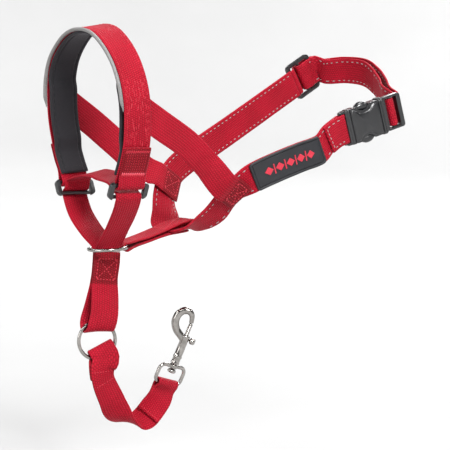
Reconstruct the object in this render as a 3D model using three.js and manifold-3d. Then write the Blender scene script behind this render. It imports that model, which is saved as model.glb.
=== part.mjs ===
// Head halter for a dog: a lined noseband, a line that tightens it under the jaw, cheek straps,
// a neck strap with an adjuster and a side-release buckle, and a link strap with a bolt snap.
//
// Millimetres, +Z up. The dog's nose points along -Y and its left side is +X ("near").
// The origin is the top of the muzzle seat: the inner face of the lining, at the middle of the
// noseband. The straps are shown in the open, worn shape.

import * as THREE from 'three';
import { mergeVertices } from 'three/addons/utils/BufferGeometryUtils.js';
import Module from 'manifold-3d';

const wasm = await Module();
wasm.setup();

// ---------------------------------------------------------------- driving dimensions

const WEB_WIDTH = 20;            // halter webbing
const WEB_THICK = 1.5;
const NECK_WIDTH = 21;           // doubled, edge-stitched neck webbing
const LINE_WIDTH = 19;           // the line that slides through the chin ring
const LINK_WIDTH = 18;           // the link strap between lead ring and snap
const GAP = 0.35;                // clearance between touching pieces
const LAYER = WEB_THICK + GAP;   // pitch of stacked webbing

const LINING_WIDTH = 21;
const LINING_THICK = 2.2;
const PIPING_RADIUS = 1.2;

const BAR_RADIUS = 1.3;                               // plastic cross bars that carry webbing
const WRAP = BAR_RADIUS + GAP + WEB_THICK / 2;        // middle of webbing folded round a bar
const LOOP_PITCH = 8;                                 // between the two bars of a nose loop
const LOOP_HALF_SLOT = 11.2;                          // half the slot of a nose loop
const LOOP_RAIL = 3.2;

const RING_WIRE = 1.2;           // wire radius of both rings
const CHIN_RING_RADIUS = 12.8;
const LEAD_RING_RADIUS = 12.4;
const CONTROL_HALF_GAP = 5.5;    // half the opening of the control loop, to the webbing's middle

const SLIDER_HALF_LENGTH = 12;
const SLIDER_HALF_WIDTH = 14;
const SLIDER_HALF_THICK = 1.2;
const FLAT = -(SLIDER_HALF_THICK + GAP + WEB_THICK / 2 + 0.05);  // webbing lying on the slider

const BUCKLE_HALF_WIDTH = 12.5;
const WEB_BAR = -26.1;           // the female half's webbing bar
const FEMALE = { barEnd: -27.5, slotEnd: -19.5, mouth: 9.5, halfThick: 4 };
const MALE = { base: 9.9, slot: 12, bar: 17, endSlot: 22.4, end: 25.8, halfThick: 2.2 };

const PATCH_THICK = 1.6;
const PATCH_WIDTH = 21;

const BARREL_LENGTH = 21;        // bolt snap
const BARREL_RADIUS = 2.9;
const BORE_RADIUS = 1.9;
const BOLT_RADIUS = 1.5;
const BOLT_START = 11.6;
const BOLT_END = 29.8;
const KNOB_HEIGHT = 18.6;
const HOOK_RADIUS = 2;
const EYE_DROP = 14.6;           // from the barrel's foot to the bar that the link strap holds
const EYE_RADIUS = 1.3;
const EYE_HALF_SLOT = 10;

// ---------------------------------------------------------------- materials

const finish = (color, roughness, metalness = 0) =>
  new THREE.MeshStandardMaterial({ color, roughness, metalness });

const RED_WEBBING = finish(0xb81e30, 0.75);
const NEOPRENE = finish(0x2c2a2e, 0.8);
const REFLECTIVE = finish(0xa9a8a3, 0.45);
const BLACK_PLASTIC = finish(0x2a2c2f, 0.4);
const PATCH_RUBBER = finish(0x34363a, 0.6);
const NICKEL = finish(0xc9c6c0, 0.25, 1);

// ---------------------------------------------------------------- frames and helpers

const vec = (x, y, z) => new THREE.Vector3(x, y, z);
const mix = (a, b, t) => a.clone().lerp(b, t);

// A local frame: `along` and `across` span a piece's face, `through` is its thickness.
class Frame {
  constructor(origin, along, across) {
    this.origin = origin;
    this.along = along.clone().normalize();
    this.across = across.clone().addScaledVector(this.along, -across.dot(this.along)).normalize();
    this.through = this.along.clone().cross(this.across);
  }

  point(a, w = 0, t = 0) {
    return this.origin.clone()
      .addScaledVector(this.along, a)
      .addScaledVector(this.across, w)
      .addScaledVector(this.through, t);
  }

  matrix() {
    return new THREE.Matrix4().makeBasis(this.along, this.across, this.through)
      .setPosition(this.origin);
  }
}

// Signed volume of an indexed geometry, used to turn every face outward.
function signedVolume(geometry) {
  const p = geometry.attributes.position;
  const index = geometry.index.array;
  const a = vec(0, 0, 0);
  const b = vec(0, 0, 0);
  const c = vec(0, 0, 0);
  let total = 0;
  for (let i = 0; i < index.length; i += 3) {
    a.fromBufferAttribute(p, index[i]);
    b.fromBufferAttribute(p, index[i + 1]);
    c.fromBufferAttribute(p, index[i + 2]);
    total += a.dot(b.cross(c)) / 6;
  }
  return total;
}

function welded(geometry) {
  const bare = geometry.clone();
  bare.deleteAttribute('normal');
  bare.deleteAttribute('uv');
  return mergeVertices(bare, 1e-4);
}

function solidFrom(geometry) {
  const mesh = welded(geometry);
  return new wasm.Manifold(new wasm.Mesh({
    numProp: 3,
    vertProperties: new Float32Array(mesh.attributes.position.array),
    triVerts: new Uint32Array(mesh.index.array),
  }));
}

function geometryFrom(solid) {
  const mesh = solid.getMesh();
  const geometry = new THREE.BufferGeometry();
  geometry.setAttribute('position', new THREE.BufferAttribute(mesh.vertProperties, 3));
  geometry.setIndex(new THREE.BufferAttribute(mesh.triVerts, 1));
  geometry.computeVertexNormals();
  return geometry;
}

const carved = (solid, ...cuts) => cuts.map(solidFrom).reduce((a, b) => a.subtract(b), solid);

function piece(name, geometry, material, parent, matrix = null) {
  const mesh = new THREE.Mesh(geometry, material);
  mesh.name = name;
  if (matrix) mesh.applyMatrix4(matrix);
  parent.add(mesh);
  return mesh;
}

function block(x0, x1, y0, y1, z0, z1) {
  const box = new THREE.BoxGeometry(x1 - x0, y1 - y0, z1 - z0);
  return box.translate((x0 + x1) / 2, (y0 + y1) / 2, (z0 + z1) / 2);
}

// A round bar along local Y.
function barAlongY(x, z, radius, halfLength) {
  return new THREE.CylinderGeometry(radius, radius, 2 * halfLength, 14).translate(x, 0, z);
}

// A rounded rectangle in the XY plane, given by its four sides and its corner radius.
function roundedOutline(x0, x1, y0, y1, r, Path = THREE.Shape) {
  const path = new Path();
  path.moveTo(x0 + r, y0);
  path.lineTo(x1 - r, y0);
  path.absarc(x1 - r, y0 + r, r, -Math.PI / 2, 0);
  path.lineTo(x1, y1 - r);
  path.absarc(x1 - r, y1 - r, r, 0, Math.PI / 2);
  path.lineTo(x0 + r, y1);
  path.absarc(x0 + r, y1 - r, r, Math.PI / 2, Math.PI);
  path.lineTo(x0, y0 + r);
  path.absarc(x0 + r, y0 + r, r, Math.PI, 1.5 * Math.PI);
  return path;
}

// A plate of even thickness, centred on its own mid plane.
function plate(shape, halfThick) {
  const geometry = new THREE.ExtrudeGeometry(shape, {
    depth: 2 * halfThick,
    bevelEnabled: false,
    curveSegments: 5,
  });
  return geometry.translate(0, 0, -halfThick);
}

// ---------------------------------------------------------------- webbing

// A station of a strap: a point on its middle line, and the direction of its width there.
const station = (at, across) => ({ at, across });
const stop = (x, y, z, wx, wy, wz) => station(vec(x, y, z), vec(wx, wy, wz));

// Stations given in a frame as (along, through, sideways), all sharing the frame's across.
const inFrame = (frame, points) =>
  points.map(([a, t, w = 0]) => station(frame.point(a, w, t), frame.across));

function strapPaths(stations) {
  const centre = new THREE.CatmullRomCurve3(stations.map((s) => s.at), false, 'centripetal');
  const across = new THREE.CatmullRomCurve3(stations.map((s) => s.across), false, 'centripetal');
  return { centre, across };
}

// The middle point, width and face direction of a strap at t, shifted along the face direction.
function strapAt(paths, t, shift) {
  const at = paths.centre.getPoint(t);
  const tangent = paths.centre.getTangent(t);
  const width = paths.across.getPoint(t);
  width.addScaledVector(tangent, -width.dot(tangent)).normalize();
  const face = tangent.clone().cross(width);
  return { at: at.addScaledVector(face, shift), width, face };
}

// The corners of a flat section, as fractions of half its width and half its thickness.
function sectionCorners(columns) {
  const corners = [];
  for (let i = 0; i <= columns; i += 1) corners.push([1 - (2 * i) / columns, 1]);
  for (let i = columns; i >= 0; i -= 1) corners.push([1 - (2 * i) / columns, -1]);
  return corners;
}

// Flat webbing swept along its stations as one closed solid.
function strap(stations, options = {}) {
  const { width = WEB_WIDTH, thickness = WEB_THICK, shift = () => 0 } = options;
  const { from = 0, to = 1, perSpan = 4, columns = 1, bend = (p) => p } = options;
  const paths = strapPaths(stations);
  const count = Math.max(2, Math.round((stations.length - 1) * (to - from) * perSpan));
  const corners = sectionCorners(columns);
  const positions = [];
  for (let i = 0; i <= count; i += 1) {
    const t = from + ((to - from) * i) / count;
    const here = strapAt(paths, t, shift(t));
    for (const [across, up] of corners) {
      const corner = here.at.clone()
        .addScaledVector(here.width, (across * width) / 2)
        .addScaledVector(here.face, (up * thickness) / 2);
      positions.push(...bend(corner).toArray());
    }
  }
  return closedTube(positions, count, corners.length);
}

// Triangles for a tube of `sides` corners per ring, with flat ends.
function closedTube(positions, spans, sides) {
  const index = [];
  for (let i = 0; i < spans; i += 1) {
    for (let k = 0; k < sides; k += 1) {
      const a = i * sides + k;
      const b = i * sides + ((k + 1) % sides);
      index.push(a, b, b + sides, a, b + sides, a + sides);
    }
  }
  const last = spans * sides;
  for (let k = 1; k < sides - 1; k += 1) {
    index.push(0, k + 1, k);
    index.push(last, last + k, last + k + 1);
  }
  const geometry = new THREE.BufferGeometry();
  geometry.setAttribute('position', new THREE.Float32BufferAttribute(positions, 3));
  geometry.setIndex(index);
  if (signedVolume(geometry) < 0) {
    for (let i = 0; i < index.length; i += 3) {
      [index[i + 1], index[i + 2]] = [index[i + 2], index[i + 1]];
    }
    geometry.setIndex(index);
  }
  geometry.computeVertexNormals();
  return geometry;
}

// A round rod along a curve through points.
function rod(points, radius, steps, sides = 10) {
  const curve = new THREE.CatmullRomCurve3(points, false, 'centripetal');
  const section = new THREE.Shape();
  for (let k = 0; k < sides; k += 1) {
    const angle = (2 * Math.PI * k) / sides;
    const x = radius * Math.cos(angle);
    const y = radius * Math.sin(angle);
    if (k === 0) section.moveTo(x, y);
    else section.lineTo(x, y);
  }
  section.closePath();
  return new THREE.ExtrudeGeometry(section, { steps, extrudePath: curve, bevelEnabled: false });
}

// Points of an arc in a frame's along/through plane, angles in degrees from `along`.
function arcPairs(a0, t0, radius, startDeg, endDeg, count) {
  const pairs = [];
  for (let i = 0; i <= count; i += 1) {
    const angle = ((startDeg + ((endDeg - startDeg) * i) / count) * Math.PI) / 180;
    pairs.push([a0 + radius * Math.cos(angle), t0 + radius * Math.sin(angle)]);
  }
  return pairs;
}

// ---------------------------------------------------------------- the layout

const BACK = vec(0, 1, 0);       // from the nose towards the neck

// Nose loops hang below the noseband's two ends. `along` points down through both bars,
// `across` runs along the bars, and `through` points out of the halter on the near side and
// into it on the far side.
const nearLoop = new Frame(vec(34, 4, -98.5), vec(-0.42, 0, -0.907), BACK);
const farLoop = new Frame(vec(-34.2, 2.5, -98.5), vec(0.42, 0, -0.907), BACK);

// The slider lies along the far neck strap; `through` points out of the halter.
const sliderFrame = new Frame(vec(-48.35, 212.6, -23.2), vec(0, 0.867, 0.499), vec(0, 0.499, -0.867));

// The buckle lies on the near side; `through` points into the halter.
const buckleFrame = new Frame(vec(39.3, 205.8, -55.7), vec(0.12, 0.95, 0.29), vec(0, 0.292, -0.956));

// The lead ring: `along` is level, `across` is up, and `through` is the ring's axis.
const LEAD_CENTRE = vec(0, -0.5, -202.2);
const leadFrame = new Frame(LEAD_CENTRE, vec(0.27, 0.963, 0), vec(0, 0, 1));

// Where the link strap is folded on the lead ring: `along` points from the ring's centre to the
// part of the wire that it holds, and `across` runs along that part of the wire.
const linkFold = new Frame(LEAD_CENTRE, vec(0.114, 0.407, -0.906), vec(0.245, 0.873, 0.423));

// The bolt snap: `along` points to the knob's side and `across` from the eye to the hook's top.
const SNAP_FOOT = vec(8.6, 55.3, -222);
const SNAP_UP = vec(0.226, 0.311, 0.923);
const snapFrame = new Frame(SNAP_FOOT, vec(0.543, 0.747, -0.385), SNAP_UP);

// The snap's eye: `along` points down to the bar that the link strap holds, `across` runs along
// that bar.
const eyeFrame = new Frame(SNAP_FOOT, SNAP_UP.clone().negate(), vec(-0.127, 0.948, -0.289));

const CHIN_CENTRE = vec(0, 8.2, -141.4);
const LINE_CENTRE_Y = 7.3;       // the line runs down through the middle of the chin ring

// ---------------------------------------------------------------- noseband

// The noseband's middle line over the muzzle, from just above the near nose loop to the far one.
function bandStations() {
  return [
    stop(34, 4.1, -92.8, 0, 1, 0),
    stop(38.6, 4.3, -83, 0, 1, 0),
    stop(42.1, 4.3, -73, 0, 1, 0),
    stop(44, 4, -60, 0, 1, 0),
    stop(44, 3.6, -46, 0, 1, 0),
    stop(41.5, 2.5, -32, 0, 1, 0.02),
    stop(36, 1, -19, 0, 0.995, 0.08),
    stop(27, -0.8, -7.5, 0, 0.99, 0.13),
    stop(15, -2, 0.8, 0, 0.985, 0.16),
    stop(0, -2.5, 3.6, 0, 0.985, 0.17),
    stop(-15, -2.5, 1.2, 0, 0.985, 0.16),
    stop(-28, -2.2, -6, 0, 0.99, 0.13),
    stop(-38, -2, -16, 0, 0.995, 0.08),
    stop(-44, -1.5, -29, 0, 1, 0.02),
    stop(-45.5, -1.2, -42, 0, 1, 0),
    stop(-45.2, -0.6, -56, 0, 1, 0),
    stop(-42.6, 0.5, -71, 0, 1, 0),
    stop(-38.8, 1.5, -83, 0, 1, 0),
    stop(-34.1, 2.3, -92.8, 0, 1, 0),
  ];
}

// Each end of the band passes inside a nose loop's upper bar, folds round it and is sewn back
// up the outside of the band.
function nosebandWebbing(parent) {
  const nearTail = [
    stop(43.9, 4.3, -74.5, 0, 1, 0),
    stop(40.7, 4.3, -83.4, 0, 1, 0),
    stop(37.8, 4.1, -90.6, 0, 1, 0),
  ];
  const farTail = [
    stop(-37.9, 2.3, -90.6, 0, 1, 0),
    stop(-40.9, 1.6, -83.4, 0, 1, 0),
    stop(-44.5, 0.5, -72, 0, 1, 0),
  ];
  const fold = arcPairs(0, 0, WRAP, 95, -95, 4);
  const stations = [
    ...nearTail,
    ...inFrame(nearLoop, fold),
    ...bandStations(),
    ...inFrame(farLoop, fold),
    ...farTail,
  ];
  piece('noseband_webbing', strap(stations, { perSpan: 3 }), RED_WEBBING, parent);
}

// The lining stands a little further in where a cheek strap is tucked behind it.
function liningOffset(height) {
  const clear = WEB_THICK / 2 + GAP + LINING_THICK / 2;
  const below = THREE.MathUtils.smoothstep(height, -79, -69);
  const above = 1 - THREE.MathUtils.smoothstep(height, -36, -27);
  return clear + (LAYER + 0.8) * below * above;
}

function nosebandLining(parent) {
  const stations = bandStations();
  const paths = strapPaths(stations);
  const options = {
    width: LINING_WIDTH,
    thickness: LINING_THICK,
    perSpan: 3,
    shift: (t) => liningOffset(paths.centre.getPoint(t).z),
  };
  piece('noseband_lining', strap(stations, options), NEOPRENE, parent);
}

// A round reflective piping along the front edge, over the nose and down to mid cheek.
function nosebandPiping(parent) {
  const paths = strapPaths(bandStations());
  const points = [];
  for (let t = 0.2; t < 0.805; t += 0.05) {
    const here = strapAt(paths, t, 0);
    points.push(here.at.addScaledVector(here.width, -(WEB_WIDTH / 2 + GAP + PIPING_RADIUS)));
  }
  piece('noseband_piping', rod(points, PIPING_RADIUS, 30, 8), REFLECTIVE, parent);
}

// ---------------------------------------------------------------- nose loops and the line

function noseLoop(name, frame, parent) {
  const top = -BAR_RADIUS - 0.3;
  const bottom = LOOP_PITCH + BAR_RADIUS + 0.3;
  const outer = LOOP_HALF_SLOT + LOOP_RAIL;
  const ring = roundedOutline(top, bottom, -outer, outer, 3);
  const hole = block(top - 1, bottom + 1, -LOOP_HALF_SLOT, LOOP_HALF_SLOT, -5, 5);
  const rails = carved(solidFrom(plate(ring, 1.4)), hole);
  const upper = solidFrom(barAlongY(0, 0, BAR_RADIUS, LOOP_HALF_SLOT + 0.8));
  const lower = solidFrom(barAlongY(LOOP_PITCH, 0, BAR_RADIUS, LOOP_HALF_SLOT + 0.8));
  const solid = rails.add(upper).add(lower);
  piece(name, geometryFrom(solid), BLACK_PLASTIC, parent, frame.matrix());
}

// One length of webbing: up from the chin on the far side, in through the far nose loop, under
// the jaw, out through the near nose loop and back down to the chin.
function slideLine(parent) {
  const farTurn = arcPairs(LOOP_PITCH, 0, WRAP + 0.1, 280, 160, 4);
  const nearTurn = arcPairs(LOOP_PITCH, 0, WRAP + 0.1, 205, 80, 4);
  const stations = [
    stop(-1, LINE_CENTRE_Y, -143.6, 0.1, 1, 0),
    stop(-1.6, LINE_CENTRE_Y, -141.6, 0.1, 1, 0),
    stop(-5, 6.6, -137.6, 0.05, 1, 0),
    stop(-12, 3.6, -131, 0, 1, 0.05),
    stop(-26, 2.6, -118.9, 0, 1, 0.05),
    ...inFrame(farLoop, farTurn),
    stop(-28.8, 3.4, -96.9, 0, 1, 0.1),
    stop(-15, 4.4, -92.4, 0, 0.98, 0.18),
    stop(-1.5, 4.5, -92, 0, 0.98, 0.18),
    stop(9, 4.5, -94, 0, 0.98, 0.18),
    stop(22, 4.4, -96.9, 0, 1, 0.1),
    ...inFrame(nearLoop, nearTurn),
    stop(29.2, 4.8, -112.2, 0, 1, 0),
    stop(20, 6.2, -122.3, 0, 1, 0),
    stop(11.4, 6.8, -131, 0, 1, 0),
    stop(5, 7.1, -137.6, 0.05, 1, 0),
    stop(1.6, LINE_CENTRE_Y, -141.6, 0.1, 1, 0),
    stop(1, LINE_CENTRE_Y, -143.6, 0.1, 1, 0),
  ];
  piece('slide_line', strap(stations, { width: LINE_WIDTH, perSpan: 3 }), RED_WEBBING, parent);
}

// The two arms of the line run on down through the chin ring, sewn together, and open into a
// loop that carries the lead ring.
function controlLoop(parent) {
  const half = LAYER / 2;
  const side = (sign) => [
    stop(sign * half, LINE_CENTRE_Y, -145.4, 0.1, 1, 0),
    stop(sign * half, 6.9, -151, 0.1, 1, 0),
    stop(sign * half, 5.2, -163, 0.1, 1, 0),
    stop(sign * 3.3, 3.9, -174, 0.17, 0.98, 0),
    stop(sign * 5.3, 2.2, -184, 0.23, 0.97, 0),
  ];
  const round = [
    stop(CONTROL_HALF_GAP, 0.4, -192, 0.27, 0.963, 0),
    stop(3.9, -0.4, -196.6, 0.27, 0.963, 0),
    stop(0, -0.5, -198.5, 0.27, 0.963, 0),
    stop(-3.9, -0.4, -196.6, 0.27, 0.963, 0),
    stop(-CONTROL_HALF_GAP, 0.4, -192, 0.27, 0.963, 0),
  ];
  const stations = [...side(1), ...round, ...side(-1).reverse()];
  piece('control_loop', strap(stations, { width: LINE_WIDTH, perSpan: 3 }), RED_WEBBING, parent);
}

function chinRing(parent) {
  const ring = new THREE.TorusGeometry(CHIN_RING_RADIUS, RING_WIRE, 8, 32).rotateX(0.055);
  piece('chin_ring', ring, NICKEL, parent, new THREE.Matrix4().setPosition(CHIN_CENTRE));
}

// A folded webbing tie from the back of the chin ring to the crossing under the throat. Near the
// ring it is gathered a little and curved in plan, to follow the ring.
function chinConnector(parent) {
  const side = vec(1, 0, 0);
  const ringY = CHIN_CENTRE.y + CHIN_RING_RADIUS;
  const ringZ = CHIN_CENTRE.z + 0.055 * CHIN_RING_RADIUS;
  const frame = new Frame(vec(0, ringY, ringZ), vec(0, -1, 0), side);
  const radius = RING_WIRE + GAP + WEB_THICK / 2 + 0.2;
  const stations = [
    stop(0, 72, -124.6, 1, 0, 0),
    stop(0, 61.3, -126.5, 1, 0, 0),
    stop(0, 48, -129.4, 1, 0, 0),
    stop(0, 33, -134.2, 1, 0, 0),
    ...inFrame(frame, arcPairs(0, 0, radius, 110, -95, 6)),
    stop(0, 27, -141.2, 1, 0, 0),
    stop(0, 36, -138.6, 1, 0, 0),
    stop(0, 50, -134.9, 1, 0, 0),
    stop(0, 62.4, -132.3, 1, 0, 0),
    stop(0, 66.5, -131.7, 1, 0, 0),
  ];
  const curveWithRing = (p) => {
    const near = 1 - THREE.MathUtils.smoothstep(p.y, ringY + 3, ringY + 16);
    const x = p.x * (1 - 0.22 * near);
    const sag = CHIN_RING_RADIUS - Math.sqrt(CHIN_RING_RADIUS ** 2 - x * x);
    return vec(x, p.y - sag * near, p.z - 0.055 * sag * near);
  };
  const rows = { perSpan: 3, columns: 6, bend: curveWithRing };
  piece('chin_connector', strap(stations, rows), RED_WEBBING, parent);
}

// ---------------------------------------------------------------- neck and cheek straps

function nearNeckStations() {
  const approach = [[-52, -6.8, 6], [-42.5, -3.7, 2.2], [-34, -1.2, 0.4], [-29, 1.5]];
  const turn = arcPairs(WEB_BAR, 0, WRAP, 100, -90, 5);
  const tab = [[-31.5, -3.1, 0.2], [-37, -4.5, 0.9], [-43.5, -6.1, 2.4]];
  return [
    stop(-6.5, 62, -130.3, 0, 0.98, 0.17),
    stop(6.5, 62, -130.3, 0, 0.98, 0.17),
    stop(12, 62.2, -130.1, 0, 0.985, 0.17),
    stop(17, 66.5, -126, -0.1, 0.98, -0.1),
    stop(23, 72.8, -118.6, -0.15, 0.93, -0.33),
    stop(29, 78.5, -111.5, -0.3, 0.83, -0.5),
    stop(34, 87, -104, -0.33, 0.755, -0.567),
    stop(38.5, 99, -96, -0.05, 0.42, -0.9),
    stop(41, 118, -88.5, 0, 0.33, -0.94),
    stop(41.5, 137, -82.5, 0, 0.31, -0.95),
    ...inFrame(buckleFrame, [...approach, ...turn, ...tab]),
  ];
}

function farNeckStations() {
  return [
    stop(6.5, 62, -128.35, 0, 0.98, 0.17),
    stop(-6.5, 62, -128.35, 0, 0.98, 0.17),
    stop(-12, 62.2, -128.15, 0, 0.985, 0.17),
    stop(-18.5, 66.5, -121.5, 0, 0.98, -0.1),
    stop(-27, 71, -112.5, 0, 0.85, -0.5),
    stop(-33.5, 76.5, -104, 0, 0.65, -0.76),
    stop(-38.5, 86, -94, 0, 0.5, -0.87),
    stop(-42.5, 101, -85, 0, 0.5, -0.87),
    stop(-45, 120, -75.6, 0, 0.5, -0.87),
    stop(-46, 138, -66, 0, 0.5, -0.867),
    ...inFrame(sliderFrame, [[-56, FLAT], [-40, FLAT], [-22, FLAT], [-10.6, FLAT]]),
  ];
}

// A point on a strap's face: t along it, w across it, and so far off its middle surface.
function onStrap(paths, t, w, off) {
  const here = strapAt(paths, t, off);
  return here.at.addScaledVector(here.width, w);
}

// A cheek strap, from behind the noseband lining to the neck strap that it is sewn across.
function cheekStrap(name, run, neck, crossing, end, off, parent) {
  const paths = strapPaths(neck);
  const t = crossing / (neck.length - 1);
  const lean = 0.12 / (neck.length - 1);
  const width = paths.centre.getTangent(t);
  const ends = [-13, -6.5, 0, 6, end].map((w) => {
    const at = onStrap(paths, t + lean * (w / 10), w, off);
    return station(at, width);
  });
  piece(name, strap([...run, ...ends], { perSpan: 4 }), RED_WEBBING, parent);
}

function neckStraps(parent) {
  const near = nearNeckStations();
  const far = farNeckStations();
  const options = { width: NECK_WIDTH, perSpan: 3 };
  piece('neck_strap_near', strap(near, options), RED_WEBBING, parent);
  piece('neck_strap_far', strap(far, options), RED_WEBBING, parent);

  const nearRun = [
    stop(41.55, 1, -46.4, -0.01, 0.6, 0.8),
    stop(41.35, 13.5, -54.4, 0, 0.6, 0.8),
    stop(42, 23, -60.4, 0, 0.6, 0.8),
    stop(41, 43.7, -72.5, 0, 0.6, 0.8),
    stop(38.3, 61.6, -86.5, 0.05, 0.6, 0.8),
  ];
  const farRun = [
    stop(-42.95, 1, -43.6, -0.03, 0.6, 0.8),
    stop(-42.85, 12.5, -51.5, -0.03, 0.6, 0.8),
    stop(-43, 25.2, -60.4, 0, 0.6, 0.8),
    stop(-40, 43.7, -76, 0, 0.6, 0.8),
    stop(-35, 59, -90.5, 0, 0.6, 0.8),
  ];
  cheekStrap('cheek_strap_near', nearRun, near, 5.9, 7, -(LAYER + 1.6), parent);
  cheekStrap('cheek_strap_far', farRun, far, 5.2, 9.8, -(LAYER + 1.45), parent);
}

// A moulded patch sewn along the outside of the near neck strap.
function labelPatch(parent) {
  const stations = nearNeckStations();
  const options = {
    width: PATCH_WIDTH,
    thickness: PATCH_THICK,
    from: 7 / (stations.length - 1),
    to: 10 / (stations.length - 1),
    perSpan: 3,
    shift: () => -(WEB_THICK / 2 + 2 * GAP + PATCH_THICK / 2),
  };
  piece('label_patch', strap(stations, options), PATCH_RUBBER, parent);
}

// ---------------------------------------------------------------- slider and adjuster

function neckSlider(parent) {
  const L = SLIDER_HALF_LENGTH;
  const W = SLIDER_HALF_WIDTH;
  const outline = plate(roundedOutline(-L, L, -W, W, 3.2), SLIDER_HALF_THICK);
  const slots = block(3.3 - L, L - 3.3, 2.6 - W, W - 2.6, -5, 5);
  const bar = solidFrom(barAlongY(0, 0, BAR_RADIUS, W - 1.8));
  const solid = carved(solidFrom(outline), slots).add(bar);
  piece('neck_slider', geometryFrom(solid), BLACK_PLASTIC, parent, sliderFrame.matrix());
}

// The doubled webbing round the back of the neck. The neck strap runs on from the slider, over
// its centre bar, along the outside, round the buckle's bar, back along the inside and round the
// slider's centre bar, where its end is sewn down.
function adjusterLoop(parent) {
  const threaded = [[-10.2, FLAT], [-8, -2.25], [-6.1, -0.9], [-4.8, 1], [-3.3, 2.9],
    [-1.4, 4.15], [0.8, 4.3], [4.2, 3.9], [9, 2.7], [13, 2.4]];
  const outside = [
    stop(-45.4, 229.2, -18.4, -0.1, 0.49, -0.86),
    stop(-33.5, 241.8, -17.2, -0.1, 0.35, -0.93),
    stop(-15.5, 248.3, -19.6, 0, 0.22, -0.97),
    stop(0, 247, -26.4, 0, 0.2, -0.98),
    stop(13.5, 243, -34.4, 0, 0.22, -0.97),
    stop(24, 238.6, -41.3, 0, 0.26, -0.965),
  ];
  const approach = [[31.5, 12.5], [25, 4.6]];
  const turn = arcPairs(MALE.bar, 0, WRAP, 30, -250, 7);
  const inside = [
    stop(20.5, 234.4, -40.4, 0, 0.26, -0.965),
    stop(11.5, 238.6, -34.8, 0, 0.22, -0.97),
    stop(0, 242.1, -27.6, 0, 0.2, -0.98),
    stop(-14, 243.4, -20.9, 0, 0.22, -0.97),
    stop(-29.5, 238.4, -18.8, -0.1, 0.35, -0.93),
    stop(-40.8, 228.2, -19.4, -0.1, 0.49, -0.86),
  ];
  const home = [[13, -2.7], [9.4, -2.55], [6.8, -2], [4.2, -1.1]];
  const sewn = arcPairs(0, 0, WRAP, 20, 262, 7);
  const flap = [[3.5, -3.2], [8, -4.45], [13, -4.75], [18.5, -5.6]];
  const stations = [
    ...inFrame(sliderFrame, threaded),
    ...outside,
    ...inFrame(buckleFrame, [...approach, ...turn, [22.5, 3.2], [27.5, 8.5]]),
    ...inside,
    ...inFrame(sliderFrame, [...home, ...sewn, ...flap]),
  ];
  piece('adjuster_loop', strap(stations, { perSpan: 3 }), RED_WEBBING, parent);
}

// ---------------------------------------------------------------- side-release buckle

function buckleFemale(parent) {
  const W = BUCKLE_HALF_WIDTH;
  const T = FEMALE.halfThick;
  const body = plate(roundedOutline(FEMALE.slotEnd, FEMALE.mouth, -W, W, 1.5), T);
  const web = plate(roundedOutline(FEMALE.barEnd, FEMALE.slotEnd + 2, -W, W, 3), 2.2);
  const slot = block(FEMALE.barEnd - 2, FEMALE.slotEnd - 0.3, 1.6 - W, W - 1.6, -6, 6);
  const bar = solidFrom(barAlongY(WEB_BAR, 0, BAR_RADIUS, W - 0.8));
  const cavity = block(FEMALE.slotEnd + 3, FEMALE.mouth + 1, 1.9 - W, W - 1.9, -2.6, 2.6);
  const shoulders = [-1, 1].map((side) =>
    new THREE.CylinderGeometry(6.6, 6.6, 20, 20).rotateX(Math.PI / 2).translate(-8.4, side * 15.6, 0));
  const frame = carved(solidFrom(web), slot);
  const solid = carved(solidFrom(body).add(frame), cavity, ...shoulders).add(bar);
  piece('buckle_female', geometryFrom(solid), BLACK_PLASTIC, parent, buckleFrame.matrix());
}

function buckleMale(parent) {
  const W = BUCKLE_HALF_WIDTH;
  const T = MALE.halfThick;
  const frame = plate(roundedOutline(MALE.base, MALE.end, -W, W, 2), T);
  const slot = block(MALE.slot, MALE.endSlot, 1.6 - W, W - 1.6, -6, 6);
  const bar = solidFrom(barAlongY(MALE.bar, 0, BAR_RADIUS, W - 0.8));
  const tongue = solidFrom(block(-6, MALE.base + 1, -2.2, 2.2, -2, 2));
  const solid = carved(solidFrom(frame), slot).add(bar).add(tongue);
  piece('buckle_male', geometryFrom(solid), BLACK_PLASTIC, parent, buckleFrame.matrix());
}

// A springy prong: an arm from the male half's base to a pad that shows in the shoulder cut.
function buckleProng(name, side, parent) {
  const shape = new THREE.Shape();
  shape.moveTo(9.5, side * 7.2);
  shape.lineTo(9.5, side * 10.1);
  shape.lineTo(-4.9, side * 10.1);
  shape.lineTo(-5.6, side * 11.5);
  shape.lineTo(-7, side * 12.2);
  shape.lineTo(-12, side * 10.4);
  shape.lineTo(-14.6, side * 7.6);
  shape.lineTo(-14.2, side * 6);
  shape.lineTo(-9, side * 7);
  shape.lineTo(0, side * 7.6);
  shape.closePath();
  piece(name, plate(shape, 2.1), BLACK_PLASTIC, parent, buckleFrame.matrix());
}

// ---------------------------------------------------------------- lead ring, link strap, snap

function leadRing(parent) {
  const ring = new THREE.TorusGeometry(LEAD_RING_RADIUS, RING_WIRE, 8, 32);
  piece('lead_ring', ring, NICKEL, parent, leadFrame.matrix());
}

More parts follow.
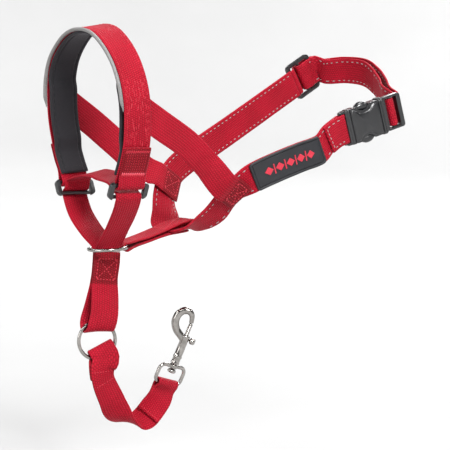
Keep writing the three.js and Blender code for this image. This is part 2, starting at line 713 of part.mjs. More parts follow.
// A webbing link: folded round the lead ring and sewn, down and round in a wide U, and folded
// round the snap's eye. The arm that hangs from the ring stays on the near side of the other.
function linkStrap(parent) {
  const ringFold = [[13, -3.1], [8, -2.9], [5, -1.8], [4, 0], [5, 1.8], [8, 2.9], [13, 3.1]];
  const arm = [
    stop(1.75, 2.4, -228, 0.2, 0.98, 0),
    stop(1.4, 1.5, -219.5, 0.25, 0.95, 0.2),
    ...inFrame(linkFold, ringFold),
    stop(4.4, 0.6, -219.5, 0.25, 0.95, 0.2),
    stop(3.9, 2.3, -228, 0.2, 0.98, 0),
    stop(2.9, 8.2, -241.5, 0.35, 0.93, 0.1),
    stop(1.6, 13.2, -250.2, 0.6, 0.75, 0.2),
    stop(0.5, 20.2, -257.5, 0.85, 0.5, 0.1),
    stop(-0.3, 29.3, -260.5, 0.93, 0.35, -0.1),
    stop(-0.1, 37.4, -257.8, 0.9, 0.4, -0.2),
    stop(1.1, 42.6, -251.6, 0.7, 0.6, -0.35),
    stop(3, 46.9, -244.4, 0.2, 0.85, -0.4),
  ];
  const bar = new Frame(eyeFrame.point(EYE_DROP), eyeFrame.along, eyeFrame.across);
  const wrap = EYE_RADIUS + GAP + WEB_THICK / 2 + 0.2;
  const turn = inFrame(bar, arcPairs(0, 0, wrap, -70, -275, 6));
  const paths = strapPaths([...arm, turn[0]]);
  const last = arm.length;
  const end = [-0.55, -1.2, -2, -2.8].map((back) => {
    const here = strapAt(paths, (last + back) / last, -(LAYER + 0.15));
    return station(here.at, here.width);
  });
  const stations = [...arm, ...turn, ...end];
  piece('link_strap', strap(stations, { width: LINK_WIDTH, perSpan: 3 }), RED_WEBBING, parent);
}

// A wire D, upside down: the link strap holds its long bar and the post goes through its top.
function snapEye(parent) {
  const outer = EYE_HALF_SLOT + 2 * EYE_RADIUS;
  const outline = plate(roundedOutline(0.6, EYE_DROP, -outer, outer, 5), EYE_RADIUS);
  const opening = plate(roundedOutline(3.2, EYE_DROP + 4, -EYE_HALF_SLOT, EYE_HALF_SLOT, 3), 5);
  const postHole = new THREE.CylinderGeometry(1.45, 1.45, 8, 16).rotateZ(Math.PI / 2);
  const bar = solidFrom(barAlongY(EYE_DROP, 0, EYE_RADIUS, outer));
  const square = block(EYE_DROP - 5.1, EYE_DROP, -outer, outer, -EYE_RADIUS, EYE_RADIUS);
  const frame = carved(solidFrom(outline).add(solidFrom(square)), opening, postHole);
  piece('snap_eye', geometryFrom(frame.add(bar)), NICKEL, parent, eyeFrame.matrix());
}

// A turned piece on the snap's axis, from [radius, height] pairs.
function turned(name, profile, parent) {
  const points = profile.map(([r, h]) => new THREE.Vector2(r, h));
  piece(name, new THREE.LatheGeometry(points, 16), NICKEL, parent, snapFrame.matrix());
}

function snapPost(parent) {
  const foot = -4.6;
  const head = 1.85;
  turned('snap_post', [[0, foot], [1.9, foot], [1.9, foot + 1], [1.1, foot + 1], [1.1, head],
    [1.6, head], [1.6, head + 1.2], [0, head + 1.2]], parent);
}

// The hook and its barrel in one casting, with a slot for the knob.
function snapBody(parent) {
  const barrel = new THREE.CylinderGeometry(BARREL_RADIUS, BARREL_RADIUS, BARREL_LENGTH, 20)
    .translate(0, BARREL_LENGTH / 2, 0);
  const hook = rod([
    vec(-1.6, 12.5, 0), vec(-4.6, 17, 0), vec(-9, 22, 0), vec(-11.4, 27, 0), vec(-11, 32.5, 0),
    vec(-8.2, 37, 0), vec(-3.8, 38.8, 0), vec(0.4, 37.4, 0), vec(1.4, 34.2, 0), vec(0, 30.2, 0),
  ], HOOK_RADIUS, 30, 10);
  const bore = new THREE.CylinderGeometry(BORE_RADIUS, BORE_RADIUS, BARREL_LENGTH, 20)
    .translate(0, BARREL_LENGTH / 2 + 1.5, 0);
  const foot = new THREE.CylinderGeometry(1.45, 1.45, 6, 16);
  const slot = block(0, 6, KNOB_HEIGHT - 6.2, KNOB_HEIGHT + 1.1, -1, 1);
  const solid = carved(solidFrom(barrel).add(solidFrom(hook)), bore, foot, slot);
  piece('snap_body', geometryFrom(solid), NICKEL, parent, snapFrame.matrix());
}

function snapBolt(parent) {
  const r = BOLT_RADIUS;
  turned('snap_bolt', [[0, BOLT_START], [r, BOLT_START], [r, BOLT_END - 0.5],
    [r - 0.5, BOLT_END], [0, BOLT_END]], parent);
}

function snapKnob(parent) {
  const profile = [[0, BOLT_RADIUS + GAP], [0.65, BOLT_RADIUS + GAP], [0.65, 4], [1.7, 4.3],
    [2.2, 5.2], [2.2, 6.4], [1.6, 7.2], [0, 7.4]];
  const points = profile.map(([r, h]) => new THREE.Vector2(r, h));
  const knob = new THREE.LatheGeometry(points, 16).rotateZ(-Math.PI / 2)
    .translate(0, KNOB_HEIGHT, 0);
  piece('snap_knob', knob, NICKEL, parent, snapFrame.matrix());
}

function snapSpring(parent) {
  const turns = 4.5;
  const bottom = 3.7;
  const height = BOLT_START - 0.65 - bottom;
  const points = [];
  for (let i = 0; i <= 54; i += 1) {
    const angle = (2 * Math.PI * turns * i) / 54;
    points.push(vec(1.3 * Math.cos(angle), bottom + (height * i) / 54, 1.3 * Math.sin(angle)));
  }
  piece('snap_spring', rod(points, 0.26, 54, 5), NICKEL, parent, snapFrame.matrix());
}

// ---------------------------------------------------------------- the whole halter

const group = new THREE.Group();
group.name = 'head_halter';

nosebandWebbing(group);
nosebandLining(group);
nosebandPiping(group);
noseLoop('nose_loop_near', nearLoop, group);
noseLoop('nose_loop_far', farLoop, group);
slideLine(group);
controlLoop(group);
chinRing(group);
chinConnector(group);
neckStraps(group);
labelPatch(group);
neckSlider(group);
adjusterLoop(group);
buckleFemale(group);
buckleMale(group);
buckleProng('buckle_prong_upper', -1, group);
buckleProng('buckle_prong_lower', 1, group);
leadRing(group);
linkStrap(group);
snapEye(group);
snapPost(group);
snapBody(group);
snapBolt(group);
snapKnob(group);
snapSpring(group);

export default group;
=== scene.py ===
import math

import bmesh
import bpy
import numpy as np
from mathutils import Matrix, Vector


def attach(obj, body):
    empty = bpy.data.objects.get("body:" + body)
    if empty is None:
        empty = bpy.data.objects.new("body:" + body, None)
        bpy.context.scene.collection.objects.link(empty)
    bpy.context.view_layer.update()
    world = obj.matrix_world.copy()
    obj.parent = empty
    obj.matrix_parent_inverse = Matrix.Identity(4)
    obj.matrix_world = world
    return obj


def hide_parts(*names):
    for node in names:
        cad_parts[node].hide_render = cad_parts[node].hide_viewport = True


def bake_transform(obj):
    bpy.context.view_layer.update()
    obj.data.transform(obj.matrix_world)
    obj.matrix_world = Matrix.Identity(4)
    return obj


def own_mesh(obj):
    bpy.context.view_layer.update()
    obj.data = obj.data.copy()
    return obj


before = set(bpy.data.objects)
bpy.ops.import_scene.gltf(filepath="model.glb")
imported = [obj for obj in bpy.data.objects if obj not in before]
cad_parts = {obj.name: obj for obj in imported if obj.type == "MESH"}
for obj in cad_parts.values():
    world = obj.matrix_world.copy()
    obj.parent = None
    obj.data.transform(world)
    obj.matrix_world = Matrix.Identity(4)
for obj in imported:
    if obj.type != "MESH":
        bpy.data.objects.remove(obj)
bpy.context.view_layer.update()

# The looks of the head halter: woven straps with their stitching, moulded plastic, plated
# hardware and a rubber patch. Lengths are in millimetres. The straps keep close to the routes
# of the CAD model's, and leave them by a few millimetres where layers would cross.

MM = 0.001

# ---------------------------------------------------------------- sizes, in millimetres

WEB_WIDTH, WEB_THICK, GAP = 20, 1.5, 0.35
NECK_WIDTH, LINE_WIDTH, LINK_WIDTH = 21, 19, 18
LINE_THICK = 1.35
FACE = WEB_THICK / 2             # from a strap's middle to its face
LAYER = WEB_THICK + GAP          # from one strap's middle to the next one's
LINING_WIDTH, LINING_THICK = 21, 2.2
PIPING_RADIUS = 1.2
BAR_RADIUS = 1.3
WRAP = BAR_RADIUS + GAP + FACE   # from a bar's axis to the middle of a strap round it
LOOP_PITCH = 8                   # between a nose loop's two bars
RING_WIRE = 1.2                  # radius of the rings' wire
CHIN_RING_RADIUS, LEAD_RING_RADIUS = 12.8, 12.4
CHIN_RING_SLOPE = 0.055
CONTROL_HALF_GAP = 5.5
SLIDER_HALF = 1.2
FLAT = -(SLIDER_HALF + GAP + FACE + 0.05)    # off the slider's middle, for a strap lying on it
WEB_BAR, MALE_BAR = -26.1, 17    # the buckle's two bars, along it
PATCH_WIDTH = 21
EYE_WIRE, EYE_DROP = 1.3, 14.6
BOLT_START, BOLT_END, BOLT_RADIUS, KNOB_HEIGHT = 11.6, 29.8, 1.5, 18.6

STITCH = 4.2                     # pitch of a row of stitches
STITCH_IN = 2.6                  # from a strap's edge to its row of stitches
LINING_ROW = 7.7                 # from the lining's middle to its rows of stitches
THREAD_SIDES, TURNED_SIDES = 6, 32


# ---------------------------------------------------------------- frames and routes

def unit(v):
    return v / np.linalg.norm(v)


class Frame:
    """A local frame: along and across span a piece's face, through is its thickness."""

    def __init__(self, origin, along, across):
        self.origin = np.array(origin, float)
        self.along = unit(np.array(along, float))
        across = np.array(across, float)
        self.across = unit(across - self.along * across.dot(self.along))
        self.through = np.cross(self.along, self.across)

    def point(self, a, w=0, t=0):
        return self.origin + self.along * a + self.across * w + self.through * t

    def points(self, local):
        axes = np.array([self.along, self.across, self.through])
        return np.asarray(local, float) @ axes + self.origin


NEAR_LOOP = Frame((34, 4, -98.5), (-0.42, 0, -0.907), (0, 1, 0))
FAR_LOOP = Frame((-34.2, 2.5, -98.5), (0.42, 0, -0.907), (0, 1, 0))
SLIDER = Frame((-48.35, 212.6, -23.2), (0, 0.867, 0.499), (0, 0.499, -0.867))
BUCKLE = Frame((39.3, 205.8, -55.7), (0.12, 0.95, 0.29), (0, 0.292, -0.956))
LEAD_CENTRE = (0, -0.5, -202.2)
LEAD = Frame(LEAD_CENTRE, (0.27, 0.963, 0), (0, 0, 1))
LINK_FOLD = Frame(LEAD_CENTRE, (0.114, 0.407, -0.906), (0.245, 0.873, 0.423))
SNAP_UP = np.array((0.226, 0.311, 0.923))
SNAP_FOOT = np.array((8.6, 55.3, -222))
SNAP = Frame(SNAP_FOOT, (0.543, 0.747, -0.385), SNAP_UP)
EYE = Frame(SNAP_FOOT, -SNAP_UP, (-0.127, 0.948, -0.289))
CHIN_CENTRE = np.array((0, 8.2, -141.4))
LINE_Y = 7.3


def spacing(a, b, otherwise):
    """The centripetal knot spacing of two points, or another's where they coincide."""
    distance = np.sqrt(np.linalg.norm(b - a))
    return distance if distance > 1e-4 else otherwise


def catmull_rom(points, t):
    """A point on the centripetal Catmull-Rom curve through points, t from 0 to 1."""
    last = len(points) - 1
    span = min(int(t * last), last - 1)
    weight = t * last - span
    p1, p2 = points[span], points[span + 1]
    p0 = points[span - 1] if span > 0 else 2 * points[0] - points[1]
    p3 = points[span + 2] if span + 2 <= last else 2 * points[-1] - points[-2]
    d1 = spacing(p1, p2, 1.0)
    d0, d2 = spacing(p0, p1, d1), spacing(p2, p3, d1)
    m1 = ((p1 - p0) / d0 - (p2 - p0) / (d0 + d1) + (p2 - p1) / d1) * d1
    m2 = ((p2 - p1) / d1 - (p3 - p1) / (d1 + d2) + (p3 - p2) / d2) * d1
    c2 = 3 * (p2 - p1) - 2 * m1 - m2
    c3 = 2 * (p1 - p2) + m1 + m2
    return p1 + weight * (m1 + weight * (c2 + weight * c3))


def curve(points, count):
    return np.array([catmull_rom(points, t) for t in np.linspace(0, 1, count)])


def circle(count):
    return np.linspace(0, 2 * math.pi, count, endpoint=False)


def stop(x, y, z, wx, wy, wz):
    """A strap's station: a place on its middle line and the direction of its width."""
    return (np.array((x, y, z), float), np.array((wx, wy, wz), float))


def in_frame(f, points):
    """Stations in a frame, from (along, through) or (along, through, across)."""
    return [(f.point(p[0], p[2] if len(p) > 2 else 0, p[1]), f.across) for p in points]


def arc(a0, t0, radius, start, end, count):
    """Places round a bar at (a0, t0), as (along, through), between two angles in degrees."""
    angles = np.radians(np.linspace(start, end, count + 1))
    return [(a0 + radius * math.cos(a), t0 + radius * math.sin(a)) for a in angles]


def smoothstep(x, low, high):
    u = np.clip((x - low) / (high - low), 0, 1)
    return u * u * (3 - 2 * u)


class Route:
    """The middle surface of a strap: its middle line, width and face directions, by length."""

    def __init__(self, stations, shift=None, warp=None, fine=14):
        at = [s[0] for s in stations]
        across = [s[1] for s in stations]
        self.spans = len(stations) - 1
        self.t = np.linspace(0, 1, self.spans * fine + 1)
        centre = np.array([catmull_rom(at, t) for t in self.t])
        width = np.array([catmull_rom(across, t) for t in self.t])
        tangent = np.gradient(centre, axis=0)
        tangent /= np.linalg.norm(tangent, axis=1)[:, None]
        width -= tangent * (width * tangent).sum(1)[:, None]
        width /= np.linalg.norm(width, axis=1)[:, None]
        face = np.cross(tangent, width)
        if shift:
            centre = centre + face * np.array([shift(p) for p in centre])[:, None]
        steps = np.linalg.norm(np.diff(centre, axis=0), axis=1)
        self.s = np.concatenate([[0], np.cumsum(steps)])
        self.centre, self.width, self.face = centre, width, face
        self.length = self.s[-1]
        self.warp = warp

    def length_at(self, stop_number):
        """The length along the route at one of its stations, counted from 0."""
        return float(np.interp(stop_number / self.spans, self.t, self.s))

    def place(self, s, w, n):
        """Points at s along, w across and n off the middle surface."""
        s, w, n = np.broadcast_arrays(np.asarray(s, float), w, n)

        def column(a):
            return np.stack([np.interp(s, self.s, a[:, k]) for k in range(3)], -1)

        over = np.maximum(s - self.length, 0) + np.minimum(s, 0)
        width, face = column(self.width), column(self.face)
        ahead = np.cross(width, face)
        p = column(self.centre) + width * w[..., None] + face * n[..., None]
        p = p + ahead * over[..., None]
        return self.warp(p) if self.warp else p


# ---------------------------------------------------------------- meshes

def dress(piece, node):
    """Hides the CAD node that a visible piece stands for."""
    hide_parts(node)


def new_object(name, verts, faces, material, body, smooth=True):
    mesh = bpy.data.meshes.new(name)
    mesh.from_pydata((np.asarray(verts, float) * MM).tolist(), [], faces)
    mesh.validate()
    obj = bpy.data.objects.new(name, mesh)
    bpy.context.scene.collection.objects.link(obj)
    obj.data.materials.append(material)
    if smooth:
        mesh.shade_smooth()
    if body:
        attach(obj, body)
    return obj


def recalculate(obj):
    bm = bmesh.new()
    bm.from_mesh(obj.data)
    bmesh.ops.recalc_face_normals(bm, faces=bm.faces)
    bm.to_mesh(obj.data)
    bm.free()
    return obj


def grid_faces(rings, sides, closed_ring=True, first=0):
    faces = []
    for i in range(rings - 1):
        for k in range(sides if closed_ring else sides - 1):
            a = first + i * sides + k
            b = first + i * sides + (k + 1) % sides
            faces.append((a, b, b + sides, a + sides))
    return faces


def end_caps(rings, sides, first=0):
    last = first + (rings - 1) * sides
    return [tuple(range(first, first + sides))[::-1], tuple(range(last, last + sides))]


def strap_section(width, thickness, columns):
    """A flat section with rounded edges, as (across, off) pairs."""
    r = thickness / 2
    flat = width / 2 - r
    top = [(x, r) for x in np.linspace(flat, -flat, columns + 1)]
    left = [(-flat - r * math.sin(a), r * math.cos(a))
            for a in np.linspace(0, math.pi, 5)[1:-1]]
    bottom = [(-x, -y) for x, y in top]
    right = [(-x, -y) for x, y in left]
    return np.array(top + left + bottom + right)


def ripple(s, w, seed):
    """A slow unevenness of woven webbing, within about a tenth of a millimetre."""
    a = np.sin(s * 0.21 + seed) * np.sin(w * 0.31 + seed * 1.7)
    b = np.sin(s * 0.083 + seed * 2.3 + w * 0.11)
    return 0.05 * a + 0.05 * b


def strap(name, route, material, body, width=WEB_WIDTH, thickness=WEB_THICK, start=0.0, end=None,
          step=1.3, seed=0.0, crown=0.0, sewn=(), channel=0.0, columns=12):
    """Webbing along a route, with its place in the weave kept in the attribute 'web' and
    its sewn lengths, which the webbing material darkens as a painted shade, in 'sewn'.
    A channel sinks its face along the rows of stitches."""
    end = route.length if end is None else end
    count = max(3, int((end - start) / step))
    lengths = np.linspace(start, end, count + 1)
    section = strap_section(width, thickness, columns)
    w, n = section[:, 0], section[:, 1]
    n = n + crown * (1 - (2 * w / width) ** 2) * np.sign(n)
    sunk = np.exp(-((np.abs(w) - LINING_ROW) / 0.55) ** 2)
    n = n - channel * sunk * np.sign(n)
    rows, coords = [], []
    for i, s in enumerate(lengths):
        at_end = 1 if i in (0, count) else 0
        height = n * (1 - 0.12 * at_end) + ripple(s, w, seed)
        rows.append(route.place(np.full(len(w), s), w * (1 - 0.01 * at_end), height))
        coords.append(np.stack([np.full(len(w), s), w, n], -1))
    sides = len(section)
    faces = grid_faces(count + 1, sides) + end_caps(count + 1, sides)
    obj = new_object(name, np.concatenate(rows), faces, material, None)
    attribute = obj.data.attributes.new("web", "FLOAT_VECTOR", "POINT")
    attribute.data.foreach_set("vector", (np.concatenate(coords) * MM).astype(np.float32).ravel())
    # painted shade: the sewn lengths, where layers lie doubled, are darkened in the webbing
    # material by this weight
    painted_shade = np.zeros(count + 1)
    for low, high in sewn:
        painted_shade = np.maximum(painted_shade, smoothstep(lengths, low - 0.8, low + 0.8)
                           - smoothstep(lengths, high - 0.8, high + 0.8))
    mark = obj.data.attributes.new("sewn", "FLOAT", "POINT")
    mark.data.foreach_set("value", np.repeat(painted_shade, sides).astype(np.float32))
    if body:
        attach(obj, body)
    return recalculate(obj)


def stitches(name, marks, material, body):
    """One piece for many stitches; a mark is (route, s, w, n, ds, dw, radius), a short thread
    from its middle, along (ds, dw), that dips into the webbing at both ends."""
    sides = THREAD_SIDES
    rings = np.array([[-1, 0.35, -0.9], [-0.72, 0.85, -0.25], [-0.3, 1, 0.15], [0.3, 1, 0.15],
                      [0.72, 0.85, -0.25], [1, 0.35, -0.9]])
    angles = circle(sides)
    verts, faces = [], []
    for route, s, w, n, ds, dw, radius in marks:
        size = math.hypot(ds, dw)
        us, uw = ds / size, dw / size
        side = 1 if n >= 0 else -1
        ring_s, ring_w, ring_n = [], [], []
        for along, fat, lift in rings:
            c, h = np.cos(angles) * radius * fat, np.sin(angles) * radius * fat
            ring_s.append(s + us * size / 2 * along - uw * c)
            ring_w.append(w + uw * size / 2 * along + us * c)
            ring_n.append(n + side * (h + lift * radius))
        first = len(verts) * sides * len(rings)
        verts.append(route.place(np.concatenate(ring_s), np.concatenate(ring_w),
                                 np.concatenate(ring_n)))
        faces += grid_faces(len(rings), sides, first=first) + end_caps(len(rings), sides, first)
    return recalculate(new_object(name, np.concatenate(verts), faces, material, body))


def row(route, start, end, w, n, pitch=STITCH, fill=0.52, radius=0.36):
    """A row of stitches along a strap."""
    count = max(1, round((end - start) / pitch))
    ds = (end - start) / count
    return [(route, start + (i + 0.5) * ds, w, n, ds * fill, 0.0, radius) for i in range(count)]


def both_faces(runs):
    return [(start, end, n) for start, end in runs for n in (FACE, -FACE)]


def edge_rows(route, width, runs):
    """Rows of stitches near both edges of a strap, for runs of (start, end, off)."""
    inset = width / 2 - STITCH_IN
    return [mark for w in (-inset, inset) for start, end, n in runs
            for mark in row(route, start, end, w, n)]


def cross_row(route, s0, w0, s1, w1, n, pitch=2.2, radius=0.32):
    """A row of stitches between any two places on a strap."""
    length = math.hypot(s1 - s0, w1 - w0)
    count = max(1, round(length / pitch))
    ds, dw = (s1 - s0) / count, (w1 - w0) / count
    return [(route, s0 + (i + 0.5) * ds, w0 + (i + 0.5) * dw, n, ds * 0.75, dw * 0.75, radius)
            for i in range(count)]


def bar_tack(route, s, half, n, depth=2.4, radius=0.26):
    """A dense zigzag across a strap."""
    pitch = 0.7
    return [(route, s, -half + (i + 0.5) * pitch, n, depth, pitch if i % 2 else -pitch, radius)
            for i in range(int(2 * half / pitch))]


def box_stitch(route, s0, s1, half, n):
    """A sewn box with a cross in it."""
    path = [(s0, -half), (s1, -half), (s1, half), (s0, half), (s0, -half), (s1, half)]
    lines = [*zip(path, path[1:]), ((s0, half), (s1, -half))]
    return [mark for a, b in lines for mark in cross_row(route, *a, *b, n, radius=0.34)]


def sweep(name, centres, radii, material, body, closed=False, sides=20):
    """A rod of varying radius along a smooth line, with flat ends unless it is closed."""
    p = np.array(centres, float)
    radii = np.broadcast_to(np.asarray(radii, float), (len(p),)).copy()
    if closed:
        tangent = np.roll(p, -1, 0) - np.roll(p, 1, 0)
    else:
        tangent = np.gradient(p, axis=0)
    tangent /= np.linalg.norm(tangent, axis=1)[:, None]
    normal = np.array((0.31, 0.2, 0.93))     # along none of the lines that are swept
    angles = circle(sides)
    verts = []
    for centre, ahead, r in zip(p, tangent, radii):
        normal = unit(normal - ahead * normal.dot(ahead))
        across = np.cross(ahead, normal)
        ring = np.outer(np.cos(angles), across) + np.outer(np.sin(angles), normal)
        verts.append(centre + ring * r)
    faces = grid_faces(len(p), sides)
    if closed:
        base = (len(p) - 1) * sides
        for k in range(sides):
            faces.append((base + k, base + (k + 1) % sides, (k + 1) % sides, k))
    else:
        faces += end_caps(len(p), sides)
    return recalculate(new_object(name, np.concatenate(verts), faces, material, body))


def turned(name, profile, f, body):
    """A plated piece turned about the frame's across direction, from (radius, height) pairs."""
    local = [(r * math.cos(a), h, r * math.sin(a)) for r, h in profile
             for a in circle(TURNED_SIDES)]
    faces = grid_faces(len(profile), TURNED_SIDES) + end_caps(len(profile), TURNED_SIDES)
    return recalculate(new_object(name, f.points(local), faces, NICKEL, body))


def cad_copy(name, node, body, bevel, segments=4):
    """A CAD node's own shape in plastic, its flat faces merged and its edges moulded round."""
    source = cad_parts[node]
    obj = bpy.data.objects.new(name, source.data.copy())
    obj.matrix_world = source.matrix_world
    bpy.context.scene.collection.objects.link(obj)
    obj.data.materials.clear()
    obj.data.materials.append(PLASTIC)
    bm = bmesh.new()
    bm.from_mesh(obj.data)
    bmesh.ops.remove_doubles(bm, verts=bm.verts, dist=1e-5)
    bmesh.ops.dissolve_limit(bm, angle_limit=math.radians(2), verts=bm.verts, edges=bm.edges)
    bm.to_mesh(obj.data)
    bm.free()
    rounded = obj.modifiers.new("round", "BEVEL")
    rounded.width = bevel * MM
    rounded.segments = segments
    rounded.limit_method = "ANGLE"
    rounded.angle_limit = math.radians(28)
    rounded.use_clamp_overlap = True
    depsgraph = bpy.context.evaluated_depsgraph_get()
    final = bpy.data.meshes.new_from_object(obj.evaluated_get(depsgraph))
    obj.modifiers.clear()
    obj.data = final
    obj.data.shade_smooth()
    obj.data.set_sharp_from_angle(angle=math.radians(34))
    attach(obj, body)
    dress(obj, node)


# ---------------------------------------------------------------- materials

class Nodes:
    """Short hands for building a material's node tree."""

    def __init__(self, name, roughness=0.5, metallic=0.0):
        self.material = bpy.data.materials.new(name)
        self.material.use_nodes = True
        self.tree = self.material.node_tree
        self.shader = self.tree.nodes["Principled BSDF"]
        self.shader.inputs["Roughness"].default_value = roughness
        self.shader.inputs["Metallic"].default_value = metallic

    def set(self, name, value):
        self.shader.inputs[name].default_value = value

    def node(self, kind, **settings):
        made = self.tree.nodes.new(kind)
        for key, value in settings.items():
            setattr(made, key, value)
        return made

    def link(self, a, b):
        self.tree.links.new(a, b)

    def math(self, operation, a, b=None):
        made = self.node("ShaderNodeMath", operation=operation)
        for socket, value in zip(made.inputs, (a, b)):
            if value is None:
                continue
            if isinstance(value, (int, float)):
                socket.default_value = value
            else:
                self.link(value, socket)
        return made.outputs[0]

    def add(self, a, b):
        return self.math("ADD", a, b)

    def times(self, a, b):
        return self.math("MULTIPLY", a, b)

    def noise(self, vector, scale, detail=3.0, roughness=0.6):
        made = self.node("ShaderNodeTexNoise")
        made.inputs["Scale"].default_value = scale
        made.inputs["Detail"].default_value = detail
        made.inputs["Roughness"].default_value = roughness
        self.link(vector, made.inputs["Vector"])
        return made.outputs[0]

    def ramp(self, value, stops):
        made = self.node("ShaderNodeValToRGB")
        elements = made.color_ramp.elements
        while len(elements) < len(stops):
            elements.new(0.5)
        for element, (place, colour) in zip(elements, stops):
            element.position = place
            element.color = (*colour, 1)
        self.link(value, made.inputs[0])
        return made.outputs[0]

    def colour(self, socket):
        self.link(socket, self.shader.inputs["Base Color"])

    def roughness(self, value, low, high):
        made = self.node("ShaderNodeMapRange")
        made.inputs["To Min"].default_value = low
        made.inputs["To Max"].default_value = high
        self.link(value, made.inputs[0])
        self.link(made.outputs[0], self.shader.inputs["Roughness"])

    def bump(self, height, strength, distance):
        made = self.node("ShaderNodeBump")
        made.inputs["Strength"].default_value = strength
        made.inputs["Distance"].default_value = distance
        self.link(height, made.inputs["Height"])
        self.link(made.outputs[0], self.shader.inputs["Normal"])


def object_vector(n):
    return n.node("ShaderNodeTexCoord").outputs["Object"]


def web_axes(n):
    """A strap's own coordinates, and of those the length along and the width across, in metres."""
    web = n.node("ShaderNodeAttribute", attribute_name="web").outputs["Vector"]
    split = n.node("ShaderNodeSeparateXYZ")
    n.link(web, split.inputs[0])
    return web, split.outputs[0], split.outputs[1]


def wave(n, value, pitch_mm, phase=0.0):
    """A smooth wave from 0 to 1 with a pitch in millimetres."""
    turned_by = n.add(n.times(value, 2 * math.pi / (pitch_mm * MM)), phase)
    return n.add(n.times(n.math("SINE", turned_by), 0.5), 0.5)


def webbing_material():
    """Flat-woven polyester: ribs across the strap, warp yarns along it, and fine fibres."""
    n = Nodes("webbing", roughness=0.6)
    vector, along, across = web_axes(n)
    yarn_pitch, rib_pitch = 1.7, 1.45
    yarns = wave(n, across, yarn_pitch)
    # each yarn is half a rib out of step with its neighbour
    yarn = n.math("ROUND", n.math("DIVIDE", across, yarn_pitch * MM))
    ribs = wave(n, along, rib_pitch, n.times(yarn, math.pi))
    weave = n.times(n.math("POWER", ribs, 0.7), n.math("POWER", yarns, 0.5))
    fibres = n.noise(vector, 2600, 2.0, 0.7)
    patches = n.noise(object_vector(n), 42, 3.0, 0.55)
    tone = n.add(n.times(weave, 0.42), n.times(fibres, 0.28))
    tone = n.add(tone, n.times(patches, 0.34))
    # painted shade: the webbing is darker along its sewn, doubled lengths
    sewn = n.node("ShaderNodeAttribute", attribute_name="sewn").outputs["Fac"]
    tone = n.math("SUBTRACT", tone, n.times(sewn, 0.27))
    n.colour(n.ramp(tone, [(0.14, (0.12, 0.0008, 0.004)), (0.5, (0.335, 0.0018, 0.014)),
                           (0.86, (0.52, 0.006, 0.03))]))
    n.roughness(fibres, 0.48, 0.72)
    n.bump(n.add(weave, n.times(fibres, 0.3)), 0.8, 0.0004)
    n.set("Sheen Weight", 0.12)
    n.set("Sheen Roughness", 0.35)
    n.set("Sheen Tint", (1.0, 0.35, 0.4, 1))
    n.set("Specular IOR Level", 0.15)
    return n.material


def lining_material():
    """A fine knit: courses across, wales along, and fuzz."""
    n = Nodes("lining", roughness=0.85)
    _, along, across = web_axes(n)
    knit = n.times(wave(n, along, 0.75), wave(n, across, 0.9))
    fuzz = n.noise(object_vector(n), 1900, 3.0, 0.7)
    tone = n.add(n.times(knit, 0.45), n.times(fuzz, 0.5))
    n.colour(n.ramp(tone, [(0.2, (0.0035, 0.003, 0.0048)), (0.8, (0.014, 0.0115, 0.018))]))
    n.roughness(fuzz, 0.75, 0.95)
    n.bump(n.add(knit, fuzz), 0.5, 0.0002)
    n.set("Sheen Weight", 0.12)
    n.set("Sheen Roughness", 0.5)
    n.set("Sheen Tint", (0.75, 0.72, 0.8, 1))
    return n.material


def piping_material():
    n = Nodes("piping", roughness=0.42)
    grain = n.noise(object_vector(n), 1500, 2.0)
    cells = n.node("ShaderNodeTexVoronoi")
    cells.inputs["Scale"].default_value = 1400
    n.link(object_vector(n), cells.inputs["Vector"])
    n.colour(n.ramp(grain, [(0.25, (0.13, 0.125, 0.122)), (0.8, (0.24, 0.235, 0.23))]))
    n.roughness(grain, 0.34, 0.55)
    n.bump(cells.outputs["Distance"], 0.25, 0.00012)
    return n.material


def plastic_material():
    n = Nodes("black_plastic", roughness=0.42)
    vector = object_vector(n)
    grain = n.noise(vector, 1700, 2.0, 0.5)
    rub = n.noise(vector, 130, 4.0, 0.65)
    n.colour(n.ramp(rub, [(0.3, (0.005, 0.005, 0.006)), (0.75, (0.011, 0.0115, 0.0135))]))
    n.roughness(n.add(n.times(grain, 0.5), n.times(rub, 0.5)),
                0.22, 0.4)
    n.set("Specular IOR Level", 0.75)
    n.bump(grain, 0.16, 0.0001)
    return n.material


def patch_material():
    n = Nodes("patch_rubber", roughness=0.62)
    vector = object_vector(n)
    grain = n.noise(vector, 1500, 2.0, 0.6)
    cloud = n.noise(vector, 90, 3.0)
    n.colour(n.ramp(cloud, [(0.3, (0.006, 0.0065, 0.009)), (0.75, (0.012, 0.0125, 0.0165))]))
    n.roughness(grain, 0.5, 0.74)
    n.bump(grain, 0.3, 0.00012)
    return n.material


def motif_material():
    n = Nodes("motif_rubber", roughness=0.5)
    grain = n.noise(object_vector(n), 1300, 2.0)
    n.colour(n.ramp(grain, [(0.25, (0.42, 0.01, 0.03)), (0.8, (0.58, 0.025, 0.05))]))
    n.roughness(grain, 0.42, 0.6)
    n.bump(grain, 0.2, 0.0001)
    return n.material


def nickel_material():
    n = Nodes("nickel", roughness=0.16, metallic=1.0)
    vector = object_vector(n)
    smudge = n.noise(vector, 160, 4.0, 0.6)
    scratches = n.noise(vector, 900, 2.0, 0.7)
    n.colour(n.ramp(smudge, [(0.3, (0.24, 0.228, 0.212)), (0.7, (0.42, 0.4, 0.378))]))
    n.roughness(smudge, 0.08, 0.2)
    n.bump(scratches, 0.05, 0.00008)
    return n.material


def thread_material(name, dark, light, roughness=0.55):
    n = Nodes(name, roughness=roughness)
    twist = n.noise(object_vector(n), 3200, 2.0, 0.7)
    n.colour(n.ramp(twist, [(0.25, dark), (0.8, light)]))
    n.roughness(twist, roughness - 0.12, roughness + 0.12)
    n.bump(twist, 0.4, 0.00012)
    n.set("Sheen Weight", 0.05)
    return n.material


